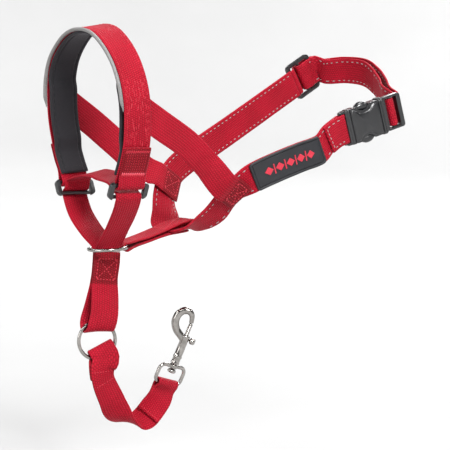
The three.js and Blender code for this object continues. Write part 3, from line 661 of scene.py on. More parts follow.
RED_WEB = webbing_material()
LINING = lining_material()
PIPING = piping_material()
PLASTIC = plastic_material()
PATCH = patch_material()
MOTIF = motif_material()
NICKEL = nickel_material()
RED_THREAD = thread_material("red_thread", (0.26, 0.002, 0.01), (0.66, 0.008, 0.035))
PALE_THREAD = thread_material("pale_thread", (0.5, 0.03, 0.06), (0.85, 0.14, 0.18))
GREY_THREAD = thread_material("grey_thread", (0.16, 0.15, 0.15), (0.36, 0.34, 0.34), 0.4)
BLACK_THREAD = thread_material("black_thread", (0.002, 0.002, 0.0025), (0.009, 0.0085, 0.01))


# ---------------------------------------------------------------- camera, lights and floor

MIDDLE = (0, 0.1, -0.1)           # of the halter, in metres


def make_camera():
    data = bpy.data.cameras.new("camera")
    camera = bpy.data.objects.new("camera", data)
    bpy.context.scene.collection.objects.link(camera)
    azimuth, elevation, distance = math.radians(54), math.radians(4), 1.0
    target = Vector((0, 0.104, -0.130))
    back = Vector((math.sin(azimuth) * math.cos(elevation),
                   -math.cos(azimuth) * math.cos(elevation), math.sin(elevation)))
    camera.location = target + back * distance
    camera.rotation_mode = "QUATERNION"
    camera.rotation_quaternion = (-back).to_track_quat("-Z", "Y")
    data.sensor_width = 36
    field = 450 * 0.7                # what the picture spans at the halter
    data.lens = data.sensor_width * distance / (field * MM)
    data.clip_start, data.clip_end = 0.05, 30
    bpy.context.scene.camera = camera


def area_light(name, place, target, size, power):
    data = bpy.data.lights.new(name, "AREA")
    data.energy, data.size = power, size
    lamp = bpy.data.objects.new(name, data)
    bpy.context.scene.collection.objects.link(lamp)
    lamp.location = place
    lamp.rotation_mode = "QUATERNION"
    lamp.rotation_quaternion = (Vector(target) - Vector(place)).to_track_quat("-Z", "Y")


def stage_material(name, dark, light):
    n = Nodes(name, roughness=0.9)
    mottle = n.noise(object_vector(n), 3.0, 3.0)
    n.colour(n.ramp(mottle, [(0.3, dark), (0.7, light)]))
    return n.material


def surface_of_revolution(name, profile, material, capped):
    """A shell turned about the halter's upright axis, from (radius, height) pairs in metres."""
    sides = 64
    verts = [(r * math.cos(a) / MM, (MIDDLE[1] + r * math.sin(a)) / MM, z / MM)
             for r, z in profile for a in circle(sides)]
    faces = grid_faces(len(profile), sides)
    if capped:
        faces.append(tuple(range(sides)))
    recalculate(new_object(name, verts, faces, material, None))


def make_studio():
    """A pale floor that curves up into a low wall all round, under a dark studio ceiling."""
    pale = stage_material("stage_pale", (0.435, 0.435, 0.435), (0.45, 0.45, 0.45))
    dark = stage_material("stage_dark", (0.05, 0.05, 0.052), (0.07, 0.07, 0.072))
    low = -0.32
    surface_of_revolution("stage_floor", [
        (0.6, low), (1.5, low), (2.2, low + 0.04), (2.8, low + 0.2), (3.2, low + 0.55),
        (3.35, low + 0.95)], pale, True)
    surface_of_revolution("stage_ceiling", [
        (3.35, low + 0.95), (3.4, 2.0), (3.3, 3.4), (2.4, 3.8), (0.5, 3.9)], dark, False)
    world = bpy.data.worlds.new("world")
    world.use_nodes = True
    world.node_tree.nodes["Background"].inputs["Color"].default_value = (1, 1, 1, 1)
    world.node_tree.nodes["Background"].inputs["Strength"].default_value = 0.15
    bpy.context.scene.world = world
    area_light("key", (1.5, -0.3, 1.1), MIDDLE, 0.6, 42)
    area_light("fill", (0.1, -1.8, 0.5), MIDDLE, 0.9, 10)
    area_light("back", (-1.2, 1.6, 1.0), MIDDLE, 0.8, 22)
    area_light("top", (0.2, 0.3, 2.2), MIDDLE, 0.9, 40)
    # six lamps in a ring light the foot of the wall
    for turn in range(6):
        a = turn * math.pi / 3
        place, foot = [(r * math.cos(a), MIDDLE[1] + r * math.sin(a), z)
                       for r, z in ((2.2, 1.6), (3.2, low))]
        area_light(f"wall_{turn}", place, foot, 1.2, 50)
    view = bpy.context.scene.view_settings
    view.view_transform = "Standard"
    view.exposure = 0.0


make_camera()
make_studio()


# ---------------------------------------------------------------- noseband

BAND = [
    stop(34, 4.1, -92.8, 0, 1, 0),
    stop(38.6, 4.3, -83, 0, 1, 0),
    stop(42.1, 4.3, -73, 0, 1, 0),
    stop(44, 4, -60, 0, 1, 0),
    stop(44, 3.6, -46, 0, 1, 0),
    stop(41.5, 2.5, -32, 0, 1, 0.02),
    stop(36, 1, -19, 0, 0.995, 0.08),
    stop(27, -0.8, -7.5, 0, 0.99, 0.13),
    stop(15, -2, 0.8, 0, 0.985, 0.16),
    stop(0, -2.5, 3.6, 0, 0.985, 0.17),
    stop(-15, -2.5, 1.2, 0, 0.985, 0.16),
    stop(-28, -2.2, -6, 0, 0.99, 0.13),
    stop(-38, -2, -16, 0, 0.995, 0.08),
    stop(-44, -1.5, -29, 0, 1, 0.02),
    stop(-45.5, -1.2, -42, 0, 1, 0),
    stop(-45.2, -0.6, -56, 0, 1, 0),
    stop(-42.6, 0.5, -71, 0, 1, 0),
    stop(-38.8, 1.5, -83, 0, 1, 0),
    stop(-34.1, 2.3, -92.8, 0, 1, 0),
]


def whole_noseband():
    """The band with each end folded round a nose loop and turned back up the outside."""
    near_tail = [stop(43.9, 4.3, -74.5, 0, 1, 0), stop(40.7, 4.3, -83.4, 0, 1, 0),
                 stop(37.8, 4.1, -90.6, 0, 1, 0)]
    far_tail = [stop(-37.9, 2.3, -90.6, 0, 1, 0), stop(-40.9, 1.6, -83.4, 0, 1, 0),
                stop(-44.5, 0.5, -72, 0, 1, 0)]
    fold = arc(0, 0, WRAP, 95, -95, 4)
    return (near_tail + in_frame(NEAR_LOOP, fold) + BAND + in_frame(FAR_LOOP, fold) + far_tail)


def make_noseband():
    route = Route(whole_noseband())
    tail = route.length_at(2.2)
    webbing = strap("noseband_band", route, RED_WEB, "halter", seed=0.4,
                    sewn=[(0, tail), (route.length - tail, route.length)])
    dress(webbing, "noseband_webbing")
    # the webbing's two ends are folded back outside the band and sewn down
    marks = []
    for start, end in ((1.5, tail), (route.length - tail, route.length - 1.5)):
        for w in np.arange(-6.8, 7.0, 1.7):
            marks += row(route, start + 2.5, end, w, FACE, pitch=1.9, fill=0.7, radius=0.2)
        marks += bar_tack(route, start + 1.2, 9, FACE)
        marks += bar_tack(route, end - 0.6, 9, FACE)
    stitches("noseband_tail_stitching", marks, RED_THREAD, "halter")
    pale = []
    for s in (tail - 1.2, route.length - tail + 1.2):
        pale += bar_tack(route, s, 8.8, FACE, depth=2.6, radius=0.24)
    stitches("noseband_zigzag", pale, PALE_THREAD, "halter")
    # the seam that holds the lining shows outside as a faint row near each edge
    first, last = route.length_at(8), route.length_at(route.spans - 8)
    seams = []
    for w in (-7.9, 7.9):
        seams += row(route, first + 22, last - 22, w, -FACE, radius=0.2, fill=0.55)
    # above each tail the band is darned to the cheek strap behind it
    uneven = np.random.default_rng(7)
    for middle in (first + 40, last - 40):
        for _ in range(90):
            s, w = uneven.uniform(-22, 22), uneven.uniform(-7.8, 7.8)
            long, lean = uneven.uniform(1.6, 4.2), uneven.uniform(-0.7, 0.7)
            seams.append((route, middle + s, w, -FACE, long, lean, 0.24))
    stitches("noseband_edge_seams", seams, RED_THREAD, "halter")


def lining_offset(point):
    """How far the lining stands in from the webbing: further where a cheek strap lies between."""
    clear = FACE + GAP + LINING_THICK / 2
    below = smoothstep(point[2], -79, -69)
    above = 1 - smoothstep(point[2], -36, -27)
    return clear + (LAYER + 0.8) * below * above


def make_lining():
    route = Route(BAND, shift=lining_offset)
    lining = strap("noseband_padding", route, LINING, "halter", width=LINING_WIDTH,
                   thickness=LINING_THICK - 0.3, seed=2.0, crown=0.3, step=1.5, channel=0.7,
                   columns=48)
    dress(lining, "noseband_lining")
    face = LINING_THICK / 2
    marks = []
    for w in (-LINING_ROW, LINING_ROW):
        marks += row(route, 3, route.length - 3, w, face - 0.55, radius=0.3)
    for s in (4.0, route.length - 4.0):
        marks += cross_row(route, s, -LINING_ROW, s, LINING_ROW, face - 0.1, radius=0.22)
    stitches("lining_stitching", marks, BLACK_THREAD, "halter")


def make_piping():
    route = Route(BAND)
    first, last = route.length_at(0.2 * route.spans), route.length_at(0.8 * route.spans)
    lengths = np.linspace(first, last, 120)
    edge = -(WEB_WIDTH / 2 + GAP + PIPING_RADIUS)
    taper = smoothstep(lengths, first, first + 7) * (1 - smoothstep(lengths, last - 7, last))
    centres = route.place(lengths, edge + 0.9 * (1 - taper), 0.0)
    cord = sweep("noseband_edge_piping", centres, PIPING_RADIUS * (0.3 + 0.7 * taper), PIPING,
                 "halter", sides=18)
    dress(cord, "noseband_piping")


# ---------------------------------------------------------------- the line and the chin

def line_stations():
    """From the chin ring up to the far nose loop, across under the jaw, and down again."""
    far_turn = arc(LOOP_PITCH, 0, WRAP + 0.1, 280, 160, 4)
    near_turn = arc(LOOP_PITCH, 0, WRAP + 0.1, 205, 80, 4)
    return [
        stop(-1, LINE_Y, -143.6, 0.1, 1, 0),
        stop(-1.6, LINE_Y, -141.6, 0.1, 1, 0),
        stop(-5, 6.6, -137.6, 0.05, 1, 0),
        stop(-12, 3.6, -131, 0, 1, 0.05),
        stop(-26, 2.6, -118.9, 0, 1, 0.05),
        *in_frame(FAR_LOOP, far_turn),
        stop(-28.8, 3.4, -96.9, 0, 1, 0.1),
        stop(-15, 4.4, -92.4, 0, 0.98, 0.18),
        stop(-1.5, 4.5, -92, 0, 0.98, 0.18),
        stop(9, 4.5, -94, 0, 0.98, 0.18),
        stop(22, 4.4, -96.9, 0, 1, 0.1),
        *in_frame(NEAR_LOOP, near_turn),
        stop(29.2, 4.8, -112.2, 0, 1, 0),
        stop(20, 6.2, -122.3, 0, 1, 0),
        stop(11.4, 6.8, -131, 0, 1, 0),
        stop(5, 7.1, -137.6, 0.05, 1, 0),
        stop(1.6, LINE_Y, -141.6, 0.1, 1, 0),
        stop(1, LINE_Y, -143.6, 0.1, 1, 0),
    ]


def control_stations():
    """Down from the chin ring, round under the lead ring, and up again."""
    half = LAYER / 2

    def side(sign):
        return [
            stop(sign * half, LINE_Y, -145.4, 0.1, 1, 0),
            stop(sign * half, 6.9, -151, 0.1, 1, 0),
            stop(sign * half, 5.2, -163, 0.1, 1, 0),
            stop(sign * 3.3, 3.9, -174, 0.17, 0.98, 0),
            stop(sign * 5.3, 2.2, -184, 0.23, 0.97, 0),
        ]

    bottom = [
        stop(CONTROL_HALF_GAP, 0.6, -190, 0.27, 0.963, 0),
        stop(3.9, -0.2, -194, 0.27, 0.963, 0),
        stop(0, -0.3, -195.6, 0.27, 0.963, 0),
        stop(-3.9, -0.2, -194, 0.27, 0.963, 0),
        stop(-CONTROL_HALF_GAP, 0.6, -190, 0.27, 0.963, 0),
    ]
    return side(1) + bottom + side(-1)[::-1]


def make_line():
    line = strap("jaw_line", Route(line_stations()), RED_WEB, "halter", width=LINE_WIDTH,
                 thickness=LINE_THICK, seed=1.1)
    dress(line, "slide_line")
    loop = Route(control_stations())
    low = loop.length_at(2) - 1
    control = strap("chin_control_loop", loop, RED_WEB, "control_loop", width=LINE_WIDTH, seed=3.1,
                    start=-1.6, end=loop.length + 1.6,
                    sewn=[(-2, low + 3), (loop.length - low - 3, loop.length + 2)])
    dress(control, "control_loop")
    top, half = 3, 6.8
    back_top, back_low = loop.length - top, loop.length - low
    marks = box_stitch(loop, top, low, half, -FACE) + box_stitch(loop, top, low, half, FACE)
    marks += box_stitch(loop, back_low, back_top, half, -FACE)
    marks += bar_tack(loop, low + 1.2, 7.6, -FACE) + bar_tack(loop, back_low - 1.2, 7.6, -FACE)
    stitches("control_box_stitch", marks, RED_THREAD, "control_loop")


def make_connector():
    ring_y = CHIN_CENTRE[1] + CHIN_RING_RADIUS
    ring_z = CHIN_CENTRE[2] + CHIN_RING_SLOPE * CHIN_RING_RADIUS
    f = Frame((0, ring_y, ring_z), (0, -1, 0), (1, 0, 0))
    radius = RING_WIRE + GAP + FACE + 0.2

    def warp(p):
        """The tie narrows by the ring and bends to the ring's curve."""
        near = 1 - smoothstep(p[..., 1], ring_y + 3, ring_y + 16)
        x = p[..., 0] * (1 - 0.22 * near)
        sag = CHIN_RING_RADIUS - np.sqrt(CHIN_RING_RADIUS ** 2 - x * x)
        sag = sag * near
        return np.stack([x, p[..., 1] - sag, p[..., 2] - CHIN_RING_SLOPE * sag], -1)

    route = Route([
        stop(0, 72, -124.6, 1, 0, 0),
        stop(0, 61.3, -126.5, 1, 0, 0),
        stop(0, 48, -131, 1, 0, 0),
        stop(0, 33, -135.6, 1, 0, 0),
        *in_frame(f, arc(0, 0, radius, 110, -95, 6)),
        stop(0, 27, -140.6, 1, 0, 0),
        stop(0, 36, -137.4, 1, 0, 0),
        stop(0, 50, -133.8, 1, 0, 0),
        stop(0, 62.4, -132.3, 1, 0, 0),
        stop(0, 66.5, -131.7, 1, 0, 0),
    ], warp=warp)
    tie = strap("throat_tie", route, RED_WEB, "halter", seed=4.2)
    dress(tie, "chin_connector")
    marks = []
    for side in (-FACE, FACE):
        for s0, s1 in ((2.5, route.length_at(1.9)), (route.length_at(12), route.length - 2)):
            marks += box_stitch(route, s0, s1, 7.2, side)
        for s in (route.length_at(3.4), route.length_at(10.6)):
            marks += cross_row(route, s, -8, s, 8, side)
    stitches("throat_tie_stitching", marks, RED_THREAD, "halter")


def ring(name, a, b, centre, radius, node):
    """A welded ring of round wire in the plane of a and b, with the slight swelling of its weld."""
    angles = circle(128)
    centres = centre + radius * (np.outer(np.cos(angles), a) + np.outer(np.sin(angles), b))
    weld = np.exp(-((angles - 5.4) / 0.06) ** 2)
    wire = sweep(name, centres, RING_WIRE * (1 + 0.06 * weld), NICKEL, node, closed=True, sides=24)
    dress(wire, node)


def make_rings():
    back = np.array((0, math.cos(CHIN_RING_SLOPE), math.sin(CHIN_RING_SLOPE)))
    ring("chin_welded_ring", (1, 0, 0), back, CHIN_CENTRE, CHIN_RING_RADIUS, "chin_ring")
    ring("lead_welded_ring", LEAD.along, LEAD.across, LEAD.origin, LEAD_RING_RADIUS, "lead_ring")


# ---------------------------------------------------------------- neck and cheek straps

NECK_NEAR = [
    stop(-6.5, 62, -130.3, 0, 0.98, 0.17),
    stop(6.5, 62, -130.3, 0, 0.98, 0.17),
    stop(12, 62.2, -130.1, 0, 0.985, 0.17),
    stop(18.5, 70, -126.5, -0.1, 0.98, -0.1),
    stop(25, 77.5, -119.8, -0.15, 0.93, -0.33),
    stop(30, 81.5, -111.8, -0.3, 0.83, -0.5),
    stop(34, 87, -104, -0.33, 0.755, -0.567),
    stop(38.5, 99, -96, -0.05, 0.42, -0.9),
    stop(41, 118, -88.5, 0, 0.33, -0.94),
    stop(41.5, 137, -82.5, 0, 0.31, -0.95),
    *in_frame(BUCKLE, [(-52, -6.8, 6), (-42.5, -3.7, 2.2), (-34, -1.2, 0.4), (-29, 1.5)]),
    *in_frame(BUCKLE, arc(WEB_BAR, 0, WRAP, 100, -90, 5)),
    *in_frame(BUCKLE, [(-31.5, -3.1, 0.2), (-37, -4.5, 0.9), (-43.5, -6.1, 2.4)]),
]
NECK_FAR = [
    stop(6.5, 62, -128.35, 0, 0.98, 0.17),
    stop(-6.5, 62, -128.35, 0, 0.98, 0.17),
    stop(-12, 62.2, -128.15, 0, 0.985, 0.17),
    stop(-18.5, 66.5, -121.5, 0, 0.98, -0.1),
    stop(-27, 71, -112.5, 0, 0.85, -0.5),
    stop(-33.5, 76.5, -104, 0, 0.65, -0.76),
    stop(-38.5, 86, -94, 0, 0.5, -0.87),
    stop(-42.5, 101, -85, 0, 0.5, -0.87),
    stop(-45, 120, -75.6, 0, 0.5, -0.87),
    stop(-46, 138, -66, 0, 0.5, -0.867),
    *in_frame(SLIDER, [(-56, FLAT), (-40, FLAT), (-22, FLAT), (-10.6, FLAT)]),
]


def make_neck():
    near, far = Route(NECK_NEAR), Route(NECK_FAR)
    for name, route, seed, node in (("neck_webbing_near", near, 0.8, "neck_strap_near"),
                                    ("neck_webbing_far", far, 5.2, "neck_strap_far")):
        webbing = strap(name, route, RED_WEB, "halter", width=NECK_WIDTH, seed=seed)
        dress(webbing, node)
    throat, fold, end = near.length_at(3.2), near.length_at(14) - 3, near.length - 2
    marks = edge_rows(near, NECK_WIDTH, [
        (throat, fold, FACE), (near.length_at(10.2), fold, -FACE),
        (throat, near.length_at(6.9), -FACE), (near.length_at(19.4), end, FACE)])
    marks += edge_rows(far, NECK_WIDTH, both_faces([(far.length_at(3.2), far.length_at(12.8))]))
    inset = NECK_WIDTH / 2 - STITCH_IN
    marks += cross_row(near, end, -inset, end, inset, FACE, pitch=3)
    stitches("neck_stitching", marks, GREY_THREAD, "halter")
    seam = near.length_at(1)
    red = cross_row(near, 2, -8, 2, 8, -FACE) + cross_row(near, seam + 1, -8, seam + 1, 8, -FACE)
    red += box_stitch(near, 1.5, seam - 0.5, 8, -FACE)
    red += bar_tack(far, far.length_at(13) - 1.5, 8.6, FACE)
    red += bar_tack(near, near.length_at(6.1), 8.6, FACE)
    red += bar_tack(far, far.length_at(5.4), 8.6, -FACE)
    stitches("throat_stitching", red, RED_THREAD, "halter")


def make_cheek(side, neck, run, crossing, end, off):
    """A cheek strap along run, then over the neck strap by its station number crossing."""
    route = Route(neck)
    stations = [stop(*station) for station in run]
    for w in (-13, -6.5, 0, 6, end):
        s = route.length_at(crossing + 0.12 * w / 10)        # it crosses at a slant
        ahead = route.place(s + 0.6, w, off) - route.place(s - 0.6, w, off)
        stations.append((route.place(s, w, off), ahead if ahead[1] > 0 else -ahead))
    cheek = Route(stations)
    webbing = strap("cheek_webbing_" + side, cheek, RED_WEB, "halter", seed=2.7,
                    sewn=[(cheek.length_at(len(run) + 1), cheek.length)])
    dress(webbing, "cheek_strap_" + side)
    start, end = cheek.length_at(len(run) + 1.2), cheek.length - 2.4
    marks = box_stitch(cheek, start, end, 7, -FACE) + box_stitch(cheek, start, end, 7, FACE)
    stitches("cheek_stitching_" + side, marks, RED_THREAD, "halter")


def make_cheeks():
    near_run = [(41.55, 1, -46.4, -0.01, 0.6, 0.8), (41.35, 13.5, -54.4, 0, 0.6, 0.8),
                (42, 23, -60.4, 0, 0.6, 0.8), (41, 43.7, -72.5, 0, 0.6, 0.8),
                (38.3, 61.6, -86.5, 0.05, 0.6, 0.8)]
    far_run = [(-42.95, 1, -43.6, -0.03, 0.6, 0.8), (-42.85, 12.5, -51.5, -0.03, 0.6, 0.8),
               (-43, 25.2, -60.4, 0, 0.6, 0.8), (-40, 43.7, -76, 0, 0.6, 0.8),
               (-35, 59, -90.5, 0, 0.6, 0.8)]
    make_cheek("near", NECK_NEAR, near_run, 5.9, 7, -(LAYER + 1.6))
    make_cheek("far", NECK_FAR, far_run, 5.2, 9.8, -(LAYER + 1.45))


# ---------------------------------------------------------------- the rubber patch

def rounded_slab(route, start, end, half, radius, base, heights, name, material):
    """A slab on a strap with round corners; heights gives its top by distance from the edge.
    Its grid is finer by the edges, where the heights change."""
    us = np.linspace(start, end, int((end - start) / 0.8) + 1)
    edge_steps = np.array([0, 0.25, 0.6, 1.0, 1.4, 1.55, 2.0, 2.15, 2.5])
    us = np.unique(np.round(np.concatenate([start + edge_steps, us[3:-3], end - edge_steps]), 3))
    inner = np.linspace(-half + 3.2, half - 3.2, 11)
    ws = np.unique(np.round(np.concatenate([-half + edge_steps, inner, half - edge_steps]), 3))
    top, bottom = [], []
    for s in us:
        reach = radius - min(s - start, end - s, radius)
        pull = radius - math.sqrt(max(radius ** 2 - reach ** 2, 0))
        scale = (half - pull) / half
        w = ws * scale
        from_side = half - pull - np.abs(w)
        from_end = min(s - start, end - s)
        depth = np.minimum(from_side, from_end)
        rise = np.interp(depth, [p[0] for p in heights], [p[1] for p in heights])
        top.append(route.place(np.full(len(w), s), w, base - rise))
        bottom.append(route.place(np.full(len(w), s), w, base))
    sides = len(ws)
    count = len(us)
    verts = np.concatenate(top + bottom)
    faces = grid_faces(count, sides, closed_ring=False)
    faces += [f[::-1] for f in grid_faces(count, sides, closed_ring=False, first=count * sides)]
    under = count * sides
    for i in range(count - 1):
        for k in (0, sides - 1):
            a, b = i * sides + k, (i + 1) * sides + k
            faces.append((a, b, b + under, a + under))
    for k in range(sides - 1):
        for i in (0, count - 1):
            a, b = i * sides + k, i * sides + k + 1
            faces.append((a, b, b + under, a + under))
    return recalculate(new_object(name, verts, faces, material, "halter"))


def raised_shape(route, outline, base, rise, verts, faces):
    """Adds a raised flat shape with sloping sides, drawn as (s, w) pairs, to verts and faces."""
    shape = np.array(outline, float)
    middle = shape.mean(0)
    first = sum(len(v) for v in verts)
    count = len(shape)
    for inset, height in ((0, -0.1), (0, rise * 0.7), (0.16, rise)):
        away = shape - middle
        away = away * (1 - inset / np.abs(away).max())
        ring = middle + away
        verts.append(route.place(ring[:, 0], ring[:, 1], base - height))
    faces += grid_faces(3, count, first=first)
    faces.append(tuple(range(first + 2 * count, first + 3 * count)))


def make_patch():
    route = Route(NECK_NEAR)
    start, end = route.length_at(7), route.length_at(10)
    base = -(FACE + 0.15)
    heights = [(0, 0.9), (0.25, 1.4), (0.6, 1.6), (1.4, 1.6), (1.55, 0.6), (2.0, 0.6), (2.15, 1.1),
               (9, 1.2)]
    patch = rounded_slab(route, start, end, PATCH_WIDTH / 2 - 0.3, 2.4, base, heights,
                         "neck_patch", PATCH)
    dress(patch, "label_patch")
    # a plain geometric band of lozenges and bars
    verts, faces = [], []
    middle = (start + end) / 2
    top = base - 1.15
    pitch, half_long, half_wide = 9.2, 3.6, 2.9
    for i in range(-2, 3):
        s = middle + i * pitch
        raised_shape(route, [(s - half_long, 0), (s, -half_wide), (s + half_long, 0),
                             (s, half_wide)], top, 0.45, verts, faces)
    for i in range(-2, 2):
        s = middle + (i + 0.5) * pitch
        raised_shape(route, [(s - 0.45, -3.4), (s + 0.45, -3.4), (s + 0.45, 3.4), (s - 0.45, 3.4)],
                     top, 0.45, verts, faces)
    recalculate(new_object("patch_lozenges", np.concatenate(verts), faces, MOTIF, "halter",
                           smooth=False))


# ---------------------------------------------------------------- slider and adjuster

def adjuster_outer():
    threaded = [(-10.2, FLAT), (-8, -2.25), (-6.1, -0.9), (-4.8, 1), (-3.3, 2.9), (-1.4, 4.15),
                (0.8, 4.3), (4.2, 3.9), (9, 2.7), (13, 2.4)]
    return [
        *in_frame(SLIDER, threaded),
        stop(-45.4, 229.2, -18.4, -0.1, 0.49, -0.86),
        stop(-33.5, 241.8, -17.2, -0.1, 0.35, -0.93),
        stop(-15.5, 248.3, -19.6, 0, 0.22, -0.97),
        stop(0, 247, -26.4, 0, 0.2, -0.98),
        stop(13.5, 243, -34.4, 0, 0.22, -0.97),
        stop(24, 238.6, -41.3, 0, 0.26, -0.965),
        *in_frame(BUCKLE, [(32, 10.6), (28, 6.6), (24.3, 3.7)]),
        *in_frame(BUCKLE, arc(MALE_BAR, 0, WRAP, 20, -250, 7)),
        *in_frame(BUCKLE, [(20.5, 3.7), (24.2, 5.8), (27.8, 9.4)]),
        stop(20.5, 234.4, -40.4, 0, 0.26, -0.965),
        stop(11.5, 238.6, -34.8, 0, 0.22, -0.97),
        stop(0, 242.1, -27.6, 0, 0.2, -0.98),
    ]


def adjuster_inner():
    run = [
        stop(11.5, 238.6, -34.8, 0, 0.22, -0.97),
        stop(0, 242.1, -27.6, 0, 0.2, -0.98),
        stop(-14, 243.4, -20.9, 0, 0.22, -0.97),
        stop(-29.5, 238.4, -18.8, -0.1, 0.35, -0.93),
        stop(-40.8, 228.2, -19.4, -0.1, 0.49, -0.86),
        *in_frame(SLIDER, [(13, -2.7), (9.4, -2.55), (6.8, -2), (4.2, -1.1)]),
    ]
    arriving = Route(run)
    tail = []
    for at in (5.9, 5.15, 4.5, 4.0, 3.7):
        s = arriving.length_at(at)
        ahead = arriving.place(s, 0.5, 0) - arriving.place(s, -0.5, 0)
        tail.append((arriving.place(s, 0, -(LAYER + 0.1)), ahead))
    return [
        *run,
        *in_frame(SLIDER, arc(0, 0, WRAP, 20, 262, 7)),
        *in_frame(SLIDER, [(3.2, -3.1)]),
        *tail,
    ]


def make_adjuster():
    outer, inner = Route(adjuster_outer()), Route(adjuster_inner())
    long_run = strap("adjuster_webbing", outer, RED_WEB, None, seed=6.3)
    short_run = strap("adjuster_return", inner, RED_WEB, None, seed=1.9, start=inner.length_at(0.9))
    marks = edge_rows(outer, WEB_WIDTH, both_faces([
        (outer.length_at(8.2), outer.length_at(16.4)), (outer.length_at(26), outer.length - 1)]))
    long_thread = stitches("adjuster_stitching", marks, GREY_THREAD, None)
    end = inner.length - 2
    marks = edge_rows(inner, WEB_WIDTH, both_faces([
        (inner.length_at(1.1), inner.length_at(6.6)), (inner.length_at(18), end)]))
    inset = WEB_WIDTH / 2 - STITCH_IN
    for n in (-FACE, FACE):
        marks += cross_row(inner, end, -inset, end, inset, n)
    short_thread = stitches("return_stitching", marks, GREY_THREAD, None)
    for piece in (long_run, long_thread):
        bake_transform(piece)
    for piece in (short_run, short_thread):
        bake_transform(piece)
    for piece in (long_run, short_run):
        dress(piece, "adjuster_loop")


# ---------------------------------------------------------------- link strap

def link_stations():
    arm = [stop(1.75, 1.9, -228, -0.08, 1, 0), stop(1.4, 1.9, -219.5, 0.1, 0.98, 0.2)]
    fold = [(13, -3.1), (8, -2.9), (5, -1.8), (4, 0), (5, 1.8), (8, 2.9), (13, 3.1)]
    run = [
        stop(4.4, 1.4, -219.5, 0.08, 0.98, 0.18),
        stop(3.9, 1.8, -228, -0.1, 1, 0),
        stop(2.9, 8.2, -241.5, 0.08, 0.98, 0.1),
        stop(1.6, 13.2, -250.2, 0.4, 0.88, 0.2),
        stop(0.5, 20.2, -257.5, 0.85, 0.5, 0.1),
        stop(-0.3, 29.3, -260.5, 0.82, 0.5, -0.3),
        stop(-0.1, 37.4, -257.8, 0.6, 0.65, -0.45),
        stop(1.1, 42.6, -251.6, 0.35, 0.78, -0.5),
        stop(3, 46.9, -244.4, 0.1, 0.88, -0.42),
    ]
    bar = Frame(EYE.point(EYE_DROP), EYE.along, EYE.across)
    turn = in_frame(bar, arc(0, 0, 2.6, -70, -275, 6))
    stations = arm + in_frame(LINK_FOLD, fold) + run
    before = Route(stations + turn[:1])
    last = len(stations)
    tab = []
    for step in (-0.55, -1.2, -2, -2.8):
        s = before.length_at(last + step)
        ahead = before.place(s, 0.5, 0) - before.place(s, -0.5, 0)
        tab.append((before.place(s, 0, -(LAYER + 0.15)), ahead))
    return stations + turn + tab


def make_link():
    route = Route(link_stations())
    webbing = strap("link_webbing", route, RED_WEB, "link", width=LINK_WIDTH, seed=7.4)
    dress(webbing, "link_strap")
    low, end = route.length_at(10), route.length - 1.8
    marks = []
    for n in (-FACE, FACE):
        marks += box_stitch(route, 1.4, route.length_at(1) - 0.5, 6.6, n)
        for s in (low + 2.5, low - 5.5):
            marks += cross_row(route, s, -7.4, s, 7.4, n)
        marks += cross_row(route, end, -7.2, end, 7.2, n, pitch=1.8)
    stitches("link_stitching", marks, RED_THREAD, "link")


# ---------------------------------------------------------------- the snap

def slotted_barrel():
    """The snap's barrel: a collared tube with a slot up its front for the thumb knob."""
    sides, slot_low = 48, 12.2
    slot_columns = [k % sides for k in range(45, 51)]
    outer = [(2.2, 0.0), (3.1, 0.3), (3.1, 1.2), (2.75, 1.6), (2.75, 4.4), (3.1, 4.8), (3.1, 5.8),
             (2.75, 6.2), (2.9, slot_low), (2.9, 19.8), (3.05, 20.2), (2.7, 21.0)]
    inner = [(1.9, 1.5), (1.9, slot_low), (1.9, 19.8), (1.9, 21.0)]
    local = [(r * math.cos(a), h, r * math.sin(a)) for r, h in outer + inner
             for a in circle(sides)]
    faces = []

    def join(a, b, columns):
        """Faces between two rings of the barrel, numbered from a and from b."""
        for k in columns:
            ahead = (k + 1) % sides
            faces.append((a + k, a + ahead, b + ahead, b + k))

    first_inner = len(outer) * sides
    for rings, first in ((outer, 0), (inner, first_inner)):
        for i, (_, h) in enumerate(rings[:-1]):
            solid = [k for k in range(sides) if h != slot_low or k not in slot_columns]
            join(first + i * sides, first + (i + 1) * sides, solid)
    join(first_inner - sides, len(local) - sides, range(sides))
    low_out = outer.index((2.9, slot_low)) * sides
    low_in = first_inner + sides
    join(low_out, low_in, slot_columns)
    join(low_out + sides, low_in + sides, slot_columns)
    for k in (slot_columns[0], (slot_columns[-1] + 1) % sides):
        faces.append((low_out + k, low_out + sides + k, low_in + sides + k, low_in + k))
    faces.append(tuple(range(first_inner, first_inner + sides)))
    faces.append(tuple(range(sides)))
    return recalculate(new_object("snap_barrel", SNAP.points(local), faces, NICKEL, "snap"))


def rounded_loop(f, a0, a1, half, corner):
    """A closed rounded rectangle in a frame, as points."""
    points = []
    for ca, cw, start in ((a1 - corner, half - corner, 0), (a0 + corner, half - corner, 90),
                          (a0 + corner, corner - half, 180), (a1 - corner, corner - half, 270)):
        for turn in np.radians(np.linspace(start, start + 90, 8)):
            points.append(f.point(ca + corner * math.cos(turn), cw + corner * math.sin(turn)))
    return np.array(points)


def make_snap_body():
    barrel = slotted_barrel()
    hook = curve([SNAP.point(a, w) for a, w in (
        (-1.2, 17.5), (-3.6, 19.4), (-7.6, 22.2), (-10.4, 26.6), (-10.6, 31.6), (-8.4, 35.6),
        (-4.8, 36.9), (-2, 35.5), (-0.8, 33), (-0.15, 30.1))], 90)
    t = np.linspace(0, 1, len(hook))
    radii = 2.3 + 0.45 * np.sin(np.clip(t * 1.35, 0, 1) * math.pi) - 0.75 * smoothstep(t, 0.62, 1.0)
    form = sweep("snap_hook_form", hook, radii, NICKEL, "snap", sides=28)
    for piece in (barrel, form):
        dress(piece, "snap_body")


